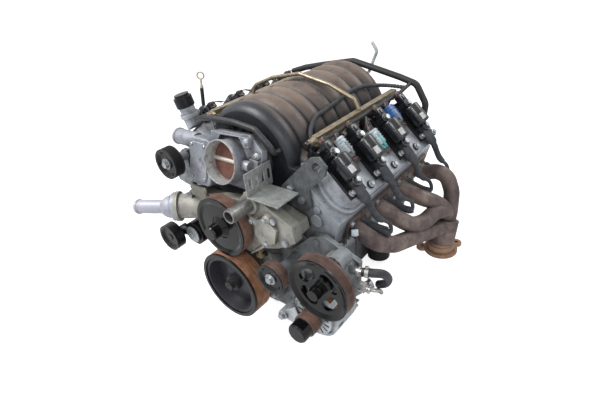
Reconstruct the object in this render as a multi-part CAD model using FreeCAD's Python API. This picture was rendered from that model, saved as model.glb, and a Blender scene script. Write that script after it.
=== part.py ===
import FreeCAD, Part
import math
import os
from FreeCAD import Vector as V

os.makedirs("parts", exist_ok=True)

# All lengths in mm. Y is the crank axis (front of the engine at -Y), Z is up,
# +X is the forward bank. The origin is the centre of the crank's rear flange face.

# Block and crank train
BORE_R = 50.8            # cylinder bore radius
BORE_PITCH = 111.76      # spacing of the bores along a bank
BANK_STAGGER = 24.0      # the -X bank sits this far back
DECK = 234.7             # crank axis to head face
STROKE = 92.0
CAM_Z = 124.8            # cam axis above crank axis
REAR_Y = -10.0           # rear face of the block
FRONT_Y = -508.0         # front face of the block
FIRST_BORE_Y = -433.6    # first bore of the +X bank
RAIL_Z = -63.0           # oil pan rail
RAIL_X = 124.0           # half width of the pan rail
MAIN_R = 32.5            # main journal radius
PIN_R = 26.65            # rod journal radius
RUN = 0.05               # running clearance of a journal
GAP = 0.3                # clearance between a turning part and its neighbour
CASE_R = 90.0            # crank chamber radius
PAN_Z = -205.0           # sump floor
PAN_SHALLOW_Z = -118.0
COVER_Y = -545.0         # front of the timing cover

# Bank sections, in bank coordinates: t across (outboard positive), d along the bore
HEAD_H = 110.3           # height of the head above the deck
HEAD_D = DECK + HEAD_H
HEAD_FRONT_Y = -502.0
HEAD_REAR_Y = -34.0
HEAD_IN_T = -92.0        # intake face
FACE_LOW = (85.0, DECK + 27.3)   # exhaust face, lower edge
FACE_TOP = (42.0, HEAD_D)        # exhaust face, upper edge
GASKET = 1.4
COVER_H = 57.0           # height of the valve cover
COVER_D = HEAD_D + COVER_H
COIL_STAND = 24.0        # coil axis above the cover
COIL_D = COVER_D + COIL_STAND
COIL_Y = {1: (-461.0, -358.0, -241.5, -126.0),     # in the photo, +X bank
          -1: (-408.0, -296.0, -184.0, -73.0)}      # the other bank, before its stagger
COIL_R = 17.0

# Front accessories: axis x, axis z, pulley radius, front y, rear y
BALANCER = (0.0, 0.0, 95.25, -620.0, -566.0)
PUMP = (0.0, 176.0, 78.0, -609.0, -577.0)
STEER = (289.0, 123.0, 75.0, -617.0, -585.0)
ALT = (240.0, -11.0, 29.0, -613.0, -587.0)
IDLER_L = (-130.0, 322.0, 38.0, -626.0, -598.0)
IDLER_R = (156.0, 94.0, 38.0, -620.0, -592.0)
TENS = (-208.0, 80.0, 38.0, -628.0, -600.0)
TENS_PIVOT = (-139.0, 98.0)
STUB = (84.0, 253.0, 16.0)
GROOVE_PITCH = 3.56      # V grooves of the belt faces
GROOVE_DEPTH = 2.2

# Throttle and intake
HALF = math.sqrt(0.5)
ARCH_Z = (HEAD_D - HEAD_IN_T) * HALF - 9.0   # centre of the runner arches, below the heads' corners
LIP = (0.0, -572.0, ARCH_Z + 34.0)           # centre of the throttle lip
LIP_TILT = 14.0              # the throttle looks up by this angle
LIP_R = 52.0
THROTTLE_R = 45.0
RIDGE_R = 140.0              # outer radius of the runners
VALLEY_R = 123.0             # and between two of them
PLENUM_R = 121.0
RUNNERS = 8
INTAKE_Y = (-478.0, -38.0)
RAIL_POS = (178.0, ARCH_Z + 72.0)    # fuel rail x and z

MAINS = [FIRST_BORE_Y + BANK_STAGGER / 2 + BORE_PITCH * (i - 0.5) for i in range(5)]
THROWS = [FIRST_BORE_Y + BANK_STAGGER / 2 + BORE_PITCH * i for i in range(4)]
THROW_ANGLES = (90.0, 180.0, 0.0, 270.0)
BORES = [FIRST_BORE_Y + BORE_PITCH * i for i in range(4)]


def box(x0, x1, y0, y1, z0, z1):
    return Part.makeBox(x1 - x0, y1 - y0, z1 - z0, V(x0, y0, z0))


def rod(r, a, b):
    a, b = V(*a), V(*b)
    return Part.makeCylinder(r, (b - a).Length, a, b - a)


def drum(r, x, z, y0, y1):
    return Part.makeCylinder(r, y1 - y0, V(x, y0, z), V(0, 1, 0))


def tube(ro, ri, a, b):
    return rod(ro, a, b).cut(rod(ri, a, b))


def slab(points, y0, y1):
    """Closed outline of (x, z) points, extruded along Y."""
    pts = [V(x, y0, z) for x, z in points]
    return Part.Face(Part.makePolygon(pts + pts[:1])).extrude(V(0, y1 - y0, 0))


def fuse(items):
    if len(items) == 1:
        return items[0]
    return items[0].multiFuse(items[1:]).removeSplitter()


def lathe(profile, x, z):
    """Closed outline of (radius, y) points turned about the line along Y through x, z."""
    pts = [V(x + r, y, z) for r, y in profile]
    return Part.Face(Part.makePolygon(pts + pts[:1])).revolve(V(x, 0, z), V(0, 1, 0), 360)


def grooved(r, y0, y1, margin=2.0):
    """Profile points of a belt face with V grooves, from (r, y0) to (r, y1)."""
    n = int((y1 - y0 - 2 * margin) / GROOVE_PITCH)
    first = (y0 + y1 - n * GROOVE_PITCH) / 2
    pts = [(r, y0)]
    for i in range(n):
        y = first + i * GROOVE_PITCH
        pts += [(r, y + 0.3), (r - GROOVE_DEPTH, y + 0.42 * GROOVE_PITCH),
                (r - GROOVE_DEPTH, y + 0.58 * GROOVE_PITCH), (r, y + GROOVE_PITCH - 0.3)]
    return pts + [(r, y1)]


def bent(points, r, bend=0):
    """Round bar along the points, with every corner bent to the given radius."""
    bend = bend or 3 * r
    pts = [V(*p) for p in points]
    pieces, start = [], pts[0]
    for a, b, c in zip(pts[:-2], pts[1:-1], pts[2:]):
        d1, d2 = (b - a).normalize(), (c - b).normalize()
        turn = d1.getAngle(d2)
        if turn < 0.02:
            continue
        room = 0.49 * min((b - a).Length, (c - b).Length)
        radius = min(bend, room / math.tan(turn / 2))
        axis = d1.cross(d2).normalize()
        first = b - d1 * (radius * math.tan(turn / 2))
        centre = first + axis.cross(d1) * radius
        disc = Part.Face(Part.Wire(Part.Circle(first, d1, r).toShape()))
        pieces += [Part.makeCylinder(r, (first - start).Length, start, d1),
                   disc.revolve(centre, axis, math.degrees(turn))]
        start = b + d2 * (radius * math.tan(turn / 2))
    end = pts[-1] - start
    return fuse(pieces + [Part.makeCylinder(r, end.Length, start, end)])


def hexagon(af, a, b):
    """Hexagonal bar of the given width across flats from a to b."""
    a, b = V(*a), V(*b)
    turn = FreeCAD.Rotation(V(0, 0, 1), b - a)
    pts = []
    for i in range(6):
        ang = math.radians(60 * i)
        corner = V(math.cos(ang), math.sin(ang), 0).multiply(af / math.sqrt(3))
        pts.append(a + turn.multVec(corner))
    return Part.Face(Part.makePolygon(pts + pts[:1])).extrude(b - a)


def bolt(af, head, shank_r, length, p, out):
    """Bolt whose head sits on point p, with out pointing away from the seat."""
    p, out = V(*p), V(*out).normalize()
    top, end = p + out * head, p - out * length
    return fuse([hexagon(af, tuple(p), tuple(top)), rod(shank_r, tuple(end), tuple(p))])


def bank(shape, side):
    """Turn a shape from bank coordinates (t, y, d) into the engine's."""
    s = shape.copy()
    s.rotate(V(0, 0, 0), V(0, 1, 0), 45)
    if side < 0:
        s = s.mirror(V(0, 0, 0), V(1, 0, 0))
        s.translate(V(0, BANK_STAGGER, 0))
    return s


def both(shape):
    return [bank(shape, 1), bank(shape, -1)]


def section(points, y0, y1):
    return slab(points, y0, y1)


def save(name, items):
    shape = items if not isinstance(items, (list, tuple)) else (
        items[0] if len(items) == 1 else Part.makeCompound(list(items)))
    shape.exportStep("parts/%s.step" % name)


def bank_xz(t, d):
    return (d + t) * HALF, (d - t) * HALF


# Engine block
deck_out, deck_in = bank_xz(72, DECK), bank_xz(-68, DECK)
right = [(RAIL_X, RAIL_Z), (RAIL_X, RAIL_Z + 15), (113, RAIL_Z + 19), (118, 16), deck_out, deck_in,
         (62, 158)]
outline = right + [(-x, z) for x, z in reversed(right)]
bell = [(-185, -50), (-130, -63), (130, -63), (185, -50), (200, 60), (150, 190), (60, 232),
        (-60, 232), (-150, 190), (-200, 60)]
MOUNT_X, MOUNT_Y, MOUNT_Z = 132.0, -245.0, -12.0
MOUNT_DY, MOUNT_DZ, MOUNT_HOLE = 70.0, 40.0, 4.25
BELL_X, BELL_Z, BELL_DZ, BELL_HOLE = 170.0, 40.0, 120.0, 4.25
above_deck = Part.makeCompound(both(box(-120, 120, REAR_Y - 60, REAR_Y + 1, DECK, DECK + 200)))
block = fuse([slab(outline, FRONT_Y, REAR_Y), slab(bell, REAR_Y - 18, REAR_Y).cut(above_deck)]
             + [box(min(s * 105, s * MOUNT_X), max(s * 105, s * MOUNT_X), MOUNT_Y - 52, MOUNT_Y + 52,
                    MOUNT_Z - 32, MOUNT_Z + 32) for s in (1, -1)])
cuts = [box(-62, 62, FRONT_Y, REAR_Y, RAIL_Z - 1, 0), box(-90, 90, FRONT_Y + 18, REAR_Y - 18, RAIL_Z - 1,
                                                          0),
        drum(MAIN_R + RUN, 0, 0, FRONT_Y - 1, REAR_Y + 1), drum(27.5, 0, CAM_Z, FRONT_Y - 1, REAR_Y - 6)]
for a, b in zip(MAINS[:-1], MAINS[1:]):
    cuts.append(drum(CASE_R, 0, 0, a + 13, b - 13))
for y in BORES:
    cuts += both(rod(BORE_R, (0, y, 78), (0, y, DECK + 5)))
for s in (1, -1):
    for dy in (-1, 1):
        for dz in (-1, 1):
            y, z = MOUNT_Y + dy * MOUNT_DY / 2, MOUNT_Z + dz * MOUNT_DZ / 2
            cuts.append(rod(MOUNT_HOLE, (s * (MOUNT_X - 24), y, z), (s * (MOUNT_X + 1), y, z)))
    for dz in (-1, 1):
        cuts.append(drum(BELL_HOLE, s * BELL_X, BELL_Z + dz * BELL_DZ / 2, REAR_Y - 19, REAR_Y + 1))
block = block.cut(fuse(cuts[:2])).cut(Part.makeCompound(cuts[2:]))
save("engine_block", block)

caps = [box(-60, 60, y - 12, y + 12, -56, 0).cut(drum(MAIN_R + RUN, 0, 0, y - 13, y + 13)) for y in MAINS]
save("main_bearing_caps", caps)

# Crankshaft with its sprocket and rear flange
FLANGE_PCD, FLANGE_HOLES, FLANGE_HOLE_R = 79.0, 6, 5.0
FLANGE_R = 50.0
SPROCKET_R, CAM_SPROCKET_R, CHAIN_T = 28.0, 56.0, 6.0
SPROCKET_Y = (-536.0, -524.0)
parts = [drum(MAIN_R, 0, 0, y - 14, y + 14) for y in MAINS]
for y, deg in zip(THROWS, THROW_ANGLES):
    c, s = math.cos(math.radians(deg)), math.sin(math.radians(deg))
    px, pz = c * STROKE / 2, s * STROKE / 2
    parts.append(drum(PIN_R, px, pz, y - 26, y + 26))
    for y0 in (y - 42, y + 24):
        weight = drum(76, 0, 0, y0, y0 + 18)
        side = box(-80, 80, y0 - 1, y0 + 19, -8, 100)
        side.rotate(V(0, 0, 0), V(0, 1, 0), 90 - deg)
        parts += [weight.cut(side), drum(32, px * 0.75, pz * 0.75, y0, y0 + 18)]
parts += [drum(FLANGE_R, 0, 0, REAR_Y + GAP, 0), drum(MAIN_R, 0, 0, MAINS[4], REAR_Y + GAP),
          drum(25, 0, 0, SPROCKET_Y[1], MAINS[0]), drum(SPROCKET_R, 0, 0, *SPROCKET_Y),
          drum(18, 0, 0, -600, SPROCKET_Y[0])]
crank = fuse(parts)
holes = []
for i in range(FLANGE_HOLES):
    a = math.radians(60 * i + 30)
    x, z = FLANGE_PCD / 2 * math.cos(a), FLANGE_PCD / 2 * math.sin(a)
    holes.append(drum(FLANGE_HOLE_R, x, z, REAR_Y + GAP - 1, 1))
crank = crank.cut(Part.makeCompound(holes + [drum(12, 0, 0, -14, 1)]))
save("crankshaft", crank)

# Camshaft with its sprocket
parts = [drum(20, 0, CAM_Z, SPROCKET_Y[1], REAR_Y - 20)]
parts += [drum(27.5 - RUN, 0, CAM_Z, y - 11, y + 11) for y in MAINS]
for i, y in enumerate(THROWS):
    for k, dy in enumerate((-26, 26)):
        a = math.radians(90 * i + 45 + 180 * k)
        parts.append(drum(21, 4.5 * math.cos(a), CAM_Z + 4.5 * math.sin(a), y + dy - 9, y + dy + 9))
parts.append(drum(CAM_SPROCKET_R, 0, CAM_Z, *SPROCKET_Y))
save("camshaft", fuse(parts))

# Timing chain: a loop of links round both sprockets


def loop(r1, r2, y0, y1):
    rise = (r2 - r1) / CAM_Z
    c = math.sqrt(1 - rise * rise)
    quad = [(c * r1, -rise * r1), (c * r2, CAM_Z - rise * r2), (-c * r2, CAM_Z - rise * r2),
            (-c * r1, -rise * r1)]
    return fuse([drum(r1, 0, 0, y0, y1), drum(r2, 0, CAM_Z, y0, y1), slab(quad, y0, y1)])


inner = loop(SPROCKET_R + GAP, CAM_SPROCKET_R + GAP, SPROCKET_Y[0] - 1, SPROCKET_Y[1] + 1)
outer = loop(SPROCKET_R + CHAIN_T, CAM_SPROCKET_R + CHAIN_T, SPROCKET_Y[0] + 1, SPROCKET_Y[1] - 1)
save("timing_chain", outer.cut(inner))

# Pistons, each at rest at its own height in the bore
PISTON_R, PISTON_H, PIN_TO_CROWN, ROD = BORE_R - RUN, 52.0, 34.0, 154.9
pistons = []
for side in (1, -1):
    for y, throw in zip(BORES, THROW_ANGLES):
        a = math.radians(throw - (45 if side > 0 else 135))
        pin = STROKE / 2 * math.cos(a) + math.sqrt(ROD ** 2 - (STROKE / 2 * math.sin(a)) ** 2)
        top = min(pin + PIN_TO_CROWN, DECK - 1)
        shape = rod(PISTON_R, (0, y, top - PISTON_H), (0, y, top))
        shape = shape.cut(rod(PISTON_R - 5, (0, y, top - PISTON_H - 1), (0, y, top - 10)))
        pistons.append(bank(shape, side))
save("pistons", pistons)

# Timing cover and rear seal cover
HUB_R = 24.0
face = [(95, RAIL_Z), (98, 60), (80, 165), (45, 205)]
face = face + [(-x, z) for x, z in reversed(face)]
room = [(82, RAIL_Z + 12), (85, 58), (68, 155), (38, 193)]
room = room + [(-x, z) for x, z in reversed(room)]
cover = slab(face, COVER_Y, FRONT_Y).cut(slab(room, COVER_Y + 5, FRONT_Y))
cover = cover.cut(drum(HUB_R + GAP, 0, 0, COVER_Y - 1, FRONT_Y))
save("timing_cover", cover)
save("rear_seal_cover", box(-92, 92, REAR_Y, REAR_Y + 8, RAIL_Z, 84).cut(
    drum(FLANGE_R + GAP, 0, 0, REAR_Y - 1, REAR_Y + 9)))

# Oil pan, its fasteners and the filter
SUMP_Y = -250.0


def pan_solid(w, y0, y1, grow):
    return fuse([box(-w, w, y0, y1, PAN_SHALLOW_Z - grow, RAIL_Z),
                 box(-w, w, SUMP_Y - grow, y1, PAN_Z - grow, RAIL_Z)])


FILTER = (142.0, -92.0, 37.0)
pan = fuse([pan_solid(98, FRONT_Y + 6, REAR_Y - 6, 0), box(-RAIL_X, RAIL_X, FRONT_Y, REAR_Y, RAIL_Z - 8,
                                                           RAIL_Z),
            box(90, FILTER[0] + 20, FILTER[1] - 30, FILTER[1] + 30, -112, -88)])
pan = pan.cut(pan_solid(93, FRONT_Y + 12, REAR_Y - 12, -5))
pan = pan.cut(drum(FLANGE_R + 2, 0, 0, REAR_Y - 6, 5))
save("oil_pan", pan)
pan_bolts = []
for s in (1, -1):
    for i in range(7):
        y = FRONT_Y + 28 + i * (REAR_Y - FRONT_Y - 56) / 6.0
        if not (s > 0 and abs(y - FILTER[1]) < 45):
            pan_bolts.append(bolt(13, 6, 4, 14, (s * 112, y, RAIL_Z - 8), (0, 0, -1)))
pan_bolts.append(bolt(15, 8, 6, 6, (-98, -60, PAN_Z + 20), (-1, 0, 0)))
fx, fy, fr = FILTER
filt = fuse([rod(fr, (fx, fy, -190), (fx, fy, -116)), rod(fr - 5, (fx, fy, -194), (fx, fy, -190)),
             rod(fr - 8, (fx, fy, -116), (fx, fy, -112))])
save("oil_filter", filt)

# Cylinder heads, gaskets, valve covers
head_in = [(HEAD_IN_T, DECK + GASKET), (FACE_LOW[0], DECK + GASKET), FACE_LOW, FACE_TOP,
           (HEAD_IN_T, HEAD_D)]
head = section(head_in, HEAD_FRONT_Y, HEAD_REAR_Y)
head_bosses = [rod(r, (t, HEAD_FRONT_Y - out, d), (t, HEAD_FRONT_Y + 2, d)) for t, d, r, out in (
    (4, HEAD_D - 45, 15, 5), (-14, HEAD_D - 23, 8, 3))]
head = fuse([head] + head_bosses)
PLUG_DY = 40.0
face_t, face_d = (FACE_LOW[0] + FACE_TOP[0]) / 2, (FACE_LOW[1] + FACE_TOP[1]) / 2
run_t, run_d = FACE_TOP[0] - FACE_LOW[0], FACE_TOP[1] - FACE_LOW[1]
run = math.hypot(run_t, run_d)
nt, nd = run_d / run, -run_t / run      # outward normal of the exhaust face


def face_point(y, off, along=0.0):
    return (face_t + nt * off + run_t / run * along, y, face_d + nd * off + run_d / run * along)


cuts = []
for y in BORES:
    cuts.append(rod(18, face_point(y, -30), face_point(y, 1)))
    cuts.append(rod(7, face_point(y + PLUG_DY, -20), face_point(y + PLUG_DY, 1)))
    cuts.append(rod(44, (0, y, DECK), (0, y, DECK + 12)))
head = head.cut(Part.makeCompound(cuts))
save("cylinder_head_right", bank(head, 1))
save("cylinder_head_left", bank(head, -1))
gasket = box(-66, 70, HEAD_FRONT_Y + 4, HEAD_REAR_Y - 4, DECK, DECK + GASKET)
gasket = gasket.cut(Part.makeCompound([rod(BORE_R + 1, (0, y, DECK - 1), (0, y, DECK + 3)) for y in BORES]))
save("head_gaskets", both(gasket))

COVER_T = (-84.0, 40.0)
COVER_END_Y = (-488.0, -50.0)


def rounded(t0, t1, y0, y1, d0, d1, r):
    shape = box(t0, t1, y0, y1, d0, d1)
    edges = [e for e in shape.Edges if abs(e.BoundBox.ZLength - (d1 - d0)) < 0.01]
    return shape.makeFillet(r, edges)


def cover_shape():
    flange = rounded(COVER_T[0], COVER_T[1], COVER_END_Y[0], COVER_END_Y[1], HEAD_D, HEAD_D + 10, 50)
    body = rounded(COVER_T[0] + 8, COVER_T[1] - 8, COVER_END_Y[0] + 8, COVER_END_Y[1] - 8, HEAD_D + 10,
                   COVER_D, 44)
    body = body.makeFillet(9, [e for e in body.Edges if e.BoundBox.ZMin > COVER_D - 0.01])
    hollow = rounded(COVER_T[0] + 13, COVER_T[1] - 13, COVER_END_Y[0] + 13, COVER_END_Y[1] - 13,
                     HEAD_D, COVER_D - 9, 38)
    return fuse([flange, body]).cut(hollow)


save("valve_cover_right", bank(cover_shape(), 1))
save("valve_cover_left", bank(cover_shape(), -1))

# Ignition: brackets, coils, bolts, plugs, leads
COIL_BOLT_T = (-86.0, -13.0)
COIL_FLOOR = COIL_D - COIL_R
brackets, coils, coil_bolts, plugs, leads = [], [], [], [], []
PLUG_OUT = 34.0
for side in (1, -1):
    for y, yb in zip(COIL_Y[side], BORES):
        brackets.append(bank(box(-106, 14, y - 24, y + 32, COVER_D, COIL_FLOOR), side))
        coil = fuse([rod(COIL_R, (-80, y, COIL_D), (-19, y, COIL_D)),
                     box(-96, -4, y - 9, y + 9, COIL_FLOOR, COIL_D + 7),
                     box(-82, -17, y + 12, y + 21, COIL_FLOOR, COIL_D + 9),
                     box(-118, -95, y - 13, y + 13, COIL_FLOOR, COIL_D + 8)])
        coils.append(bank(coil, side))
        for t in COIL_BOLT_T:
            coil_bolts.append(bank(bolt(12, 5, 3, 14, (t, y, COIL_D + 7), (0, 0, 1)), side))
        py = yb + PLUG_DY
        plug = fuse([rod(6.9, face_point(py, -14), face_point(py, 0)),
                     hexagon(16, face_point(py, 0), face_point(py, 9)),
                     rod(5, face_point(py, 9), face_point(py, PLUG_OUT))])
        plugs.append(bank(plug, side))
        end = face_point(py, PLUG_OUT + 16)
        out = face_point(py, PLUG_OUT + 44)
        lead = bent([(8, y, COIL_D - 3), (36, y + 4, COIL_D - 10), (78, y + 26, COIL_D - 40),
                     (116, py + 10, COIL_D - 74),
                     (out[0], py + 8, out[2] + 2), end], 4.5)
        boot = tube(9, 5, face_point(py, 12), face_point(py, PLUG_OUT))
        tip = rod(9, face_point(py, PLUG_OUT), end)
        tower = rod(9, (-4, y, COIL_D - 3), (16, y, COIL_D - 3))
        leads.append(bank(fuse([tower, lead, tip, boot]), side))
save("coil_brackets", brackets)
save("ignition_coils", coils)
save("coil_bolts", coil_bolts)
save("spark_plugs", plugs)
save("plug_leads", leads)

# Intake manifold
to_throttle = FreeCAD.Placement(V(*LIP), FreeCAD.Rotation(V(1, 0, 0), -LIP_TILT))


def at_throttle(shape):
    s = shape.copy()
    s.Placement = to_throttle.multiply(s.Placement)
    return s


THROAT = 62.0            # length of the throttle body
INTAKE_BOLT = (163.0, ARCH_Z + 18.0)
INTAKE_BOLT_Y = (-469.0, -370.0, -262.0, -150.0, -50.0)
side_pts = [bank_xz(HEAD_IN_T - 4, DECK - 20), bank_xz(HEAD_IN_T, DECK + 6), bank_xz(HEAD_IN_T, HEAD_D - 6)]
side_pts += [(PLENUM_R * math.cos(math.radians(a)), ARCH_Z + PLENUM_R * math.sin(math.radians(a)))
             for a in (5, 22, 45, 68)]
body = slab(side_pts + [(-x, z) for x, z in reversed(side_pts)], *INTAKE_Y)
pitch = (INTAKE_Y[1] - INTAKE_Y[0]) / RUNNERS
humps = []
for i in range(RUNNERS):
    y = INTAKE_Y[0] + pitch * i
    humps.append(Part.Arc(V(VALLEY_R, y, ARCH_Z), V(RIDGE_R, y + pitch / 2, ARCH_Z),
                          V(VALLEY_R, y + pitch, ARCH_Z)).toShape())
inside = Part.makePolygon([V(VALLEY_R, INTAKE_Y[1], ARCH_Z), V(PLENUM_R - 30, INTAKE_Y[1], ARCH_Z),
                           V(PLENUM_R - 30, INTAKE_Y[0], ARCH_Z), V(VALLEY_R, INTAKE_Y[0], ARCH_Z)])
arches = Part.Face(Part.Wire(humps + inside.Edges)).revolve(V(0, 0, ARCH_Z), V(0, -1, 0), 180)
nose = Part.makeCone(60, 84, 48, V(0, THROAT + 2, 0), V(0, 1, 0))
fins = []
for i in range(5):
    fin = box(-1.5, 1.5, THROAT + 6, THROAT + 50, 50, 82)
    fin.rotate(V(0, 0, 0), V(0, 1, 0), 24 * (i - 2))
    fins.append(at_throttle(fin))
feet = []
for s, shift in ((1, 0.0), (-1, BANK_STAGGER)):
    feet += [rod(8, (s * INTAKE_BOLT[0], y, ARCH_Z + 3), (s * INTAKE_BOLT[0], y, INTAKE_BOLT[1]))
             for y in INTAKE_BOLT_Y]
    feet += [rod(21, (s * 96, y + shift, ARCH_Z + 24), (s * 150, y + shift, ARCH_Z + 6)) for y in BORES]
throat = fuse(fins + feet + [at_throttle(nose), at_throttle(drum(57, 0, 0, THROAT, THROAT + 60)),
               at_throttle(box(-62, 62, THROAT, THROAT + 10, -60, 62))])
manifold = fuse([body, arches, throat])
hollow = fuse([at_throttle(drum(THROTTLE_R, 0, 0, THROAT - 1, THROAT + 72)),
               box(-85, 85, INTAKE_Y[0] + 12, INTAKE_Y[1] - 12, 240, 372)])
manifold = manifold.cut(hollow)
save("intake_manifold", manifold)

# Throttle body with motor housing, its cover and the butterfly
SHAFT_Y = 30.0
plate = [(-62, -62), (72, -62), (90, -42), (90, 36), (52, 66), (-62, 60)]
barrel = lathe([(LIP_R - 2.6, 0), (LIP_R, 0), (LIP_R, 7), (LIP_R - 2, 9), (LIP_R - 2, 40), (LIP_R + 3, 46),
                (LIP_R + 3, THROAT), (THROTTLE_R, THROAT), (THROTTLE_R, 16)], 0, 0)
motor = box(-124, -44, 14, 58, -76, 40)
motor = motor.makeFillet(16, [e for e in motor.Edges if e.BoundBox.YLength > 40])
motor = motor.makeFillet(5, [e for e in motor.Edges if e.BoundBox.YMax < 14.01])
saddle = slab([(-50, 20), (-30, 56), (30, 60), (48, 40), (60, 40), (60, 62), (-62, 60)], 30, 50)
body = fuse([barrel, slab(plate, 44, THROAT), motor, saddle, rod(20, (-190, 37, 24), (-116, 37, 24)),
             rod(21.5, (-190, 37, 24), (-184, 37, 24)), rod(12, (44, SHAFT_Y, 0), (70, SHAFT_Y, 0)),
             drum(8, 80, 24, 36, 50), box(58, 84, 38, 48, -30, 14)])
body = body.cut(Part.makeCompound([drum(THROTTLE_R, 0, 0, 15, THROAT + 1)]))
body = body.cut(lathe([(0, -1), (LIP_R - 2.6, -1), (LIP_R - 2.6, 0), (THROTTLE_R, 16), (0, 16)], 0, 0))
body = body.cut(rod(5 + GAP, (-66, SHAFT_Y, 0), (64, SHAFT_Y, 0)))
save("throttle_body", at_throttle(body))
panel = box(-114, -56, 10, 14, -66, 30)
panel = panel.makeFillet(13, [e for e in panel.Edges if e.BoundBox.YLength > 3])
panel = panel.makeFillet(2, [e for e in panel.Edges if e.BoundBox.YMax < 10.01])
save("throttle_motor_cover", at_throttle(panel))
butterfly = fuse([drum(THROTTLE_R - GAP, 0, 0, SHAFT_Y - 1.25, SHAFT_Y + 1.25),
                  rod(5, (-65, SHAFT_Y, 0), (63, SHAFT_Y, 0))])
save("throttle_plate", at_throttle(butterfly))

# Fuel rails, crossover and injectors
rx, rz = RAIL_POS
rails, injectors = [], []
for side, shift in ((1, 0.0), (-1, BANK_STAGGER)):
    rails.append(box(min(side * (rx - 8), side * (rx + 8)), max(side * (rx - 8), side * (rx + 8)),
                     BORES[0] - 8 + shift, BORES[3] + 20 + shift, rz - 9, rz + 9))
    for y in BORES:
        injectors.append(rod(7, (side * (rx - 1), y + shift, rz - 8),
                             (side * (rx - 26), y + shift, rz - 62)))
cross_y = -258.0
half_path = [(rx, cross_y, rz + 9), (rx - 14, cross_y, rz + 34), (94, cross_y, ARCH_Z + RIDGE_R - 6)]
cross = bent(half_path + [(0, cross_y, ARCH_Z + RIDGE_R + 13)] + [(-x, y, z) for x, y,
                                                                  z in reversed(half_path)], 5)
save("fuel_rails", rails + [cross.cut(Part.makeCompound(rails))])
save("fuel_injectors", injectors)

# Water pump: housing, outlet, stub, shaft and pulley
px, pz, pr, pf, pb = PUMP
casting = [(-160, 145), (-166, 205), (-120, 232), (-40, 234), (50, 250), (66, 275), (108, 275), (126, 258),
           (198, 224), (204, 184), (150, 150), (96, 130), (58, 104), (-58, 104), (-104, 132)]
PUMP_FACE = -572.0
OUT_C, OUT_N = V(-176, -596, 176), V(-0.8, -0.6, 0)
PUMP_BOLTS = [(-132, 215), (-132, 152), (150, 226), (178, 176)]
cap_outline = [(-96, 196), (-70, 226), (-38, 230), (-34, 206), (-56, 186), (-84, 178)]
details = [drum(11, x, z, PUMP_FACE - 0.01, COVER_Y - 2) for x, z in PUMP_BOLTS]
details += [drum(46, px, pz, PUMP_FACE - 4, PUMP_FACE + 4), slab(cap_outline, PUMP_FACE - 4, PUMP_FACE + 2),
            drum(STUB[2] + 8, STUB[0], STUB[1], PUMP_FACE - 9, PUMP_FACE + 2),
            slab([(112, 150), (150, 168), (160, 206), (128, 230), (96, 214), (92, 172)], PUMP_FACE - 10,
                 PUMP_FACE + 2),
            slab([(58, 104), (64, 104), (110, 140), (106, 144)], PUMP_FACE - 5, PUMP_FACE + 2)]
housing = fuse(details + [
    slab(casting, PUMP_FACE, COVER_Y - 1),
    slab([(-104, 136), (-104, 230), (-160, 206), (-158, 145)], COVER_Y - 1, FRONT_Y),
    slab([(104, 134), (150, 150), (196, 186), (192, 214), (104, 240)], COVER_Y - 1, FRONT_Y),
    rod(33, (-112, -556, 177), tuple(OUT_C - OUT_N * 10)), rod(40, tuple(OUT_C - OUT_N * 10),
                                                               tuple(OUT_C))])
housing = housing.cut(drum(8 + GAP, px, pz, PUMP_FACE - 1, COVER_Y - 4))
housing = housing.cut(drum(22, px, pz, PUMP_FACE - 6, PUMP_FACE))
housing = housing.cut(drum(13, STUB[0], STUB[1], PUMP_FACE - 1, PUMP_FACE + 12))
housing = housing.cut(drum(STUB[2] + GAP, STUB[0], STUB[1], PUMP_FACE - 12, PUMP_FACE))
save("water_pump_housing", housing)
NECK_END = V(-290, -645, 166)
bulb_c = OUT_C + OUT_N * 16
NECK_R = 19.0
neck_dir = (NECK_END - bulb_c).normalize()
front_half = Part.makeBox(300, 300, 300, V(-150, -150, 0))
front_half.Placement = FreeCAD.Placement(OUT_C, FreeCAD.Rotation(V(0, 0, 1), OUT_N))
outlet = fuse([rod(38, tuple(OUT_C), tuple(OUT_C + OUT_N * 8)),
               Part.makeSphere(30, bulb_c).common(front_half),
               rod(NECK_R, tuple(bulb_c), tuple(NECK_END)),
               rod(NECK_R + 1.5, tuple(NECK_END - neck_dir * 9), tuple(NECK_END - neck_dir * 4))])
outlet = outlet.cut(rod(16, tuple(bulb_c), tuple(NECK_END + neck_dir)))
save("water_outlet", outlet)
stub = fuse([drum(STUB[2], STUB[0], STUB[1], -642, PUMP_FACE),
             drum(STUB[2] + 1.5, STUB[0], STUB[1], -634, -630)])
save("hose_stub", stub.cut(drum(13, STUB[0], STUB[1], -643, PUMP_FACE + 1)))
save("pump_shaft", fuse([drum(8, px, pz, pf + 8, COVER_Y - 6), drum(20, px, pz, pf + 8, PUMP_FACE - 1)]))
save("water_pump_pulley", lathe([(0, -640), (16, -640), (18, -636), (18, -616), (30, -606), (62, pf + 4),
                                 (70, pf),
                                 (pr, pf), (pr, pb), (pr - 4, pb), (pr - 4, pf + 8), (0, pf + 8)], px, pz))

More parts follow.
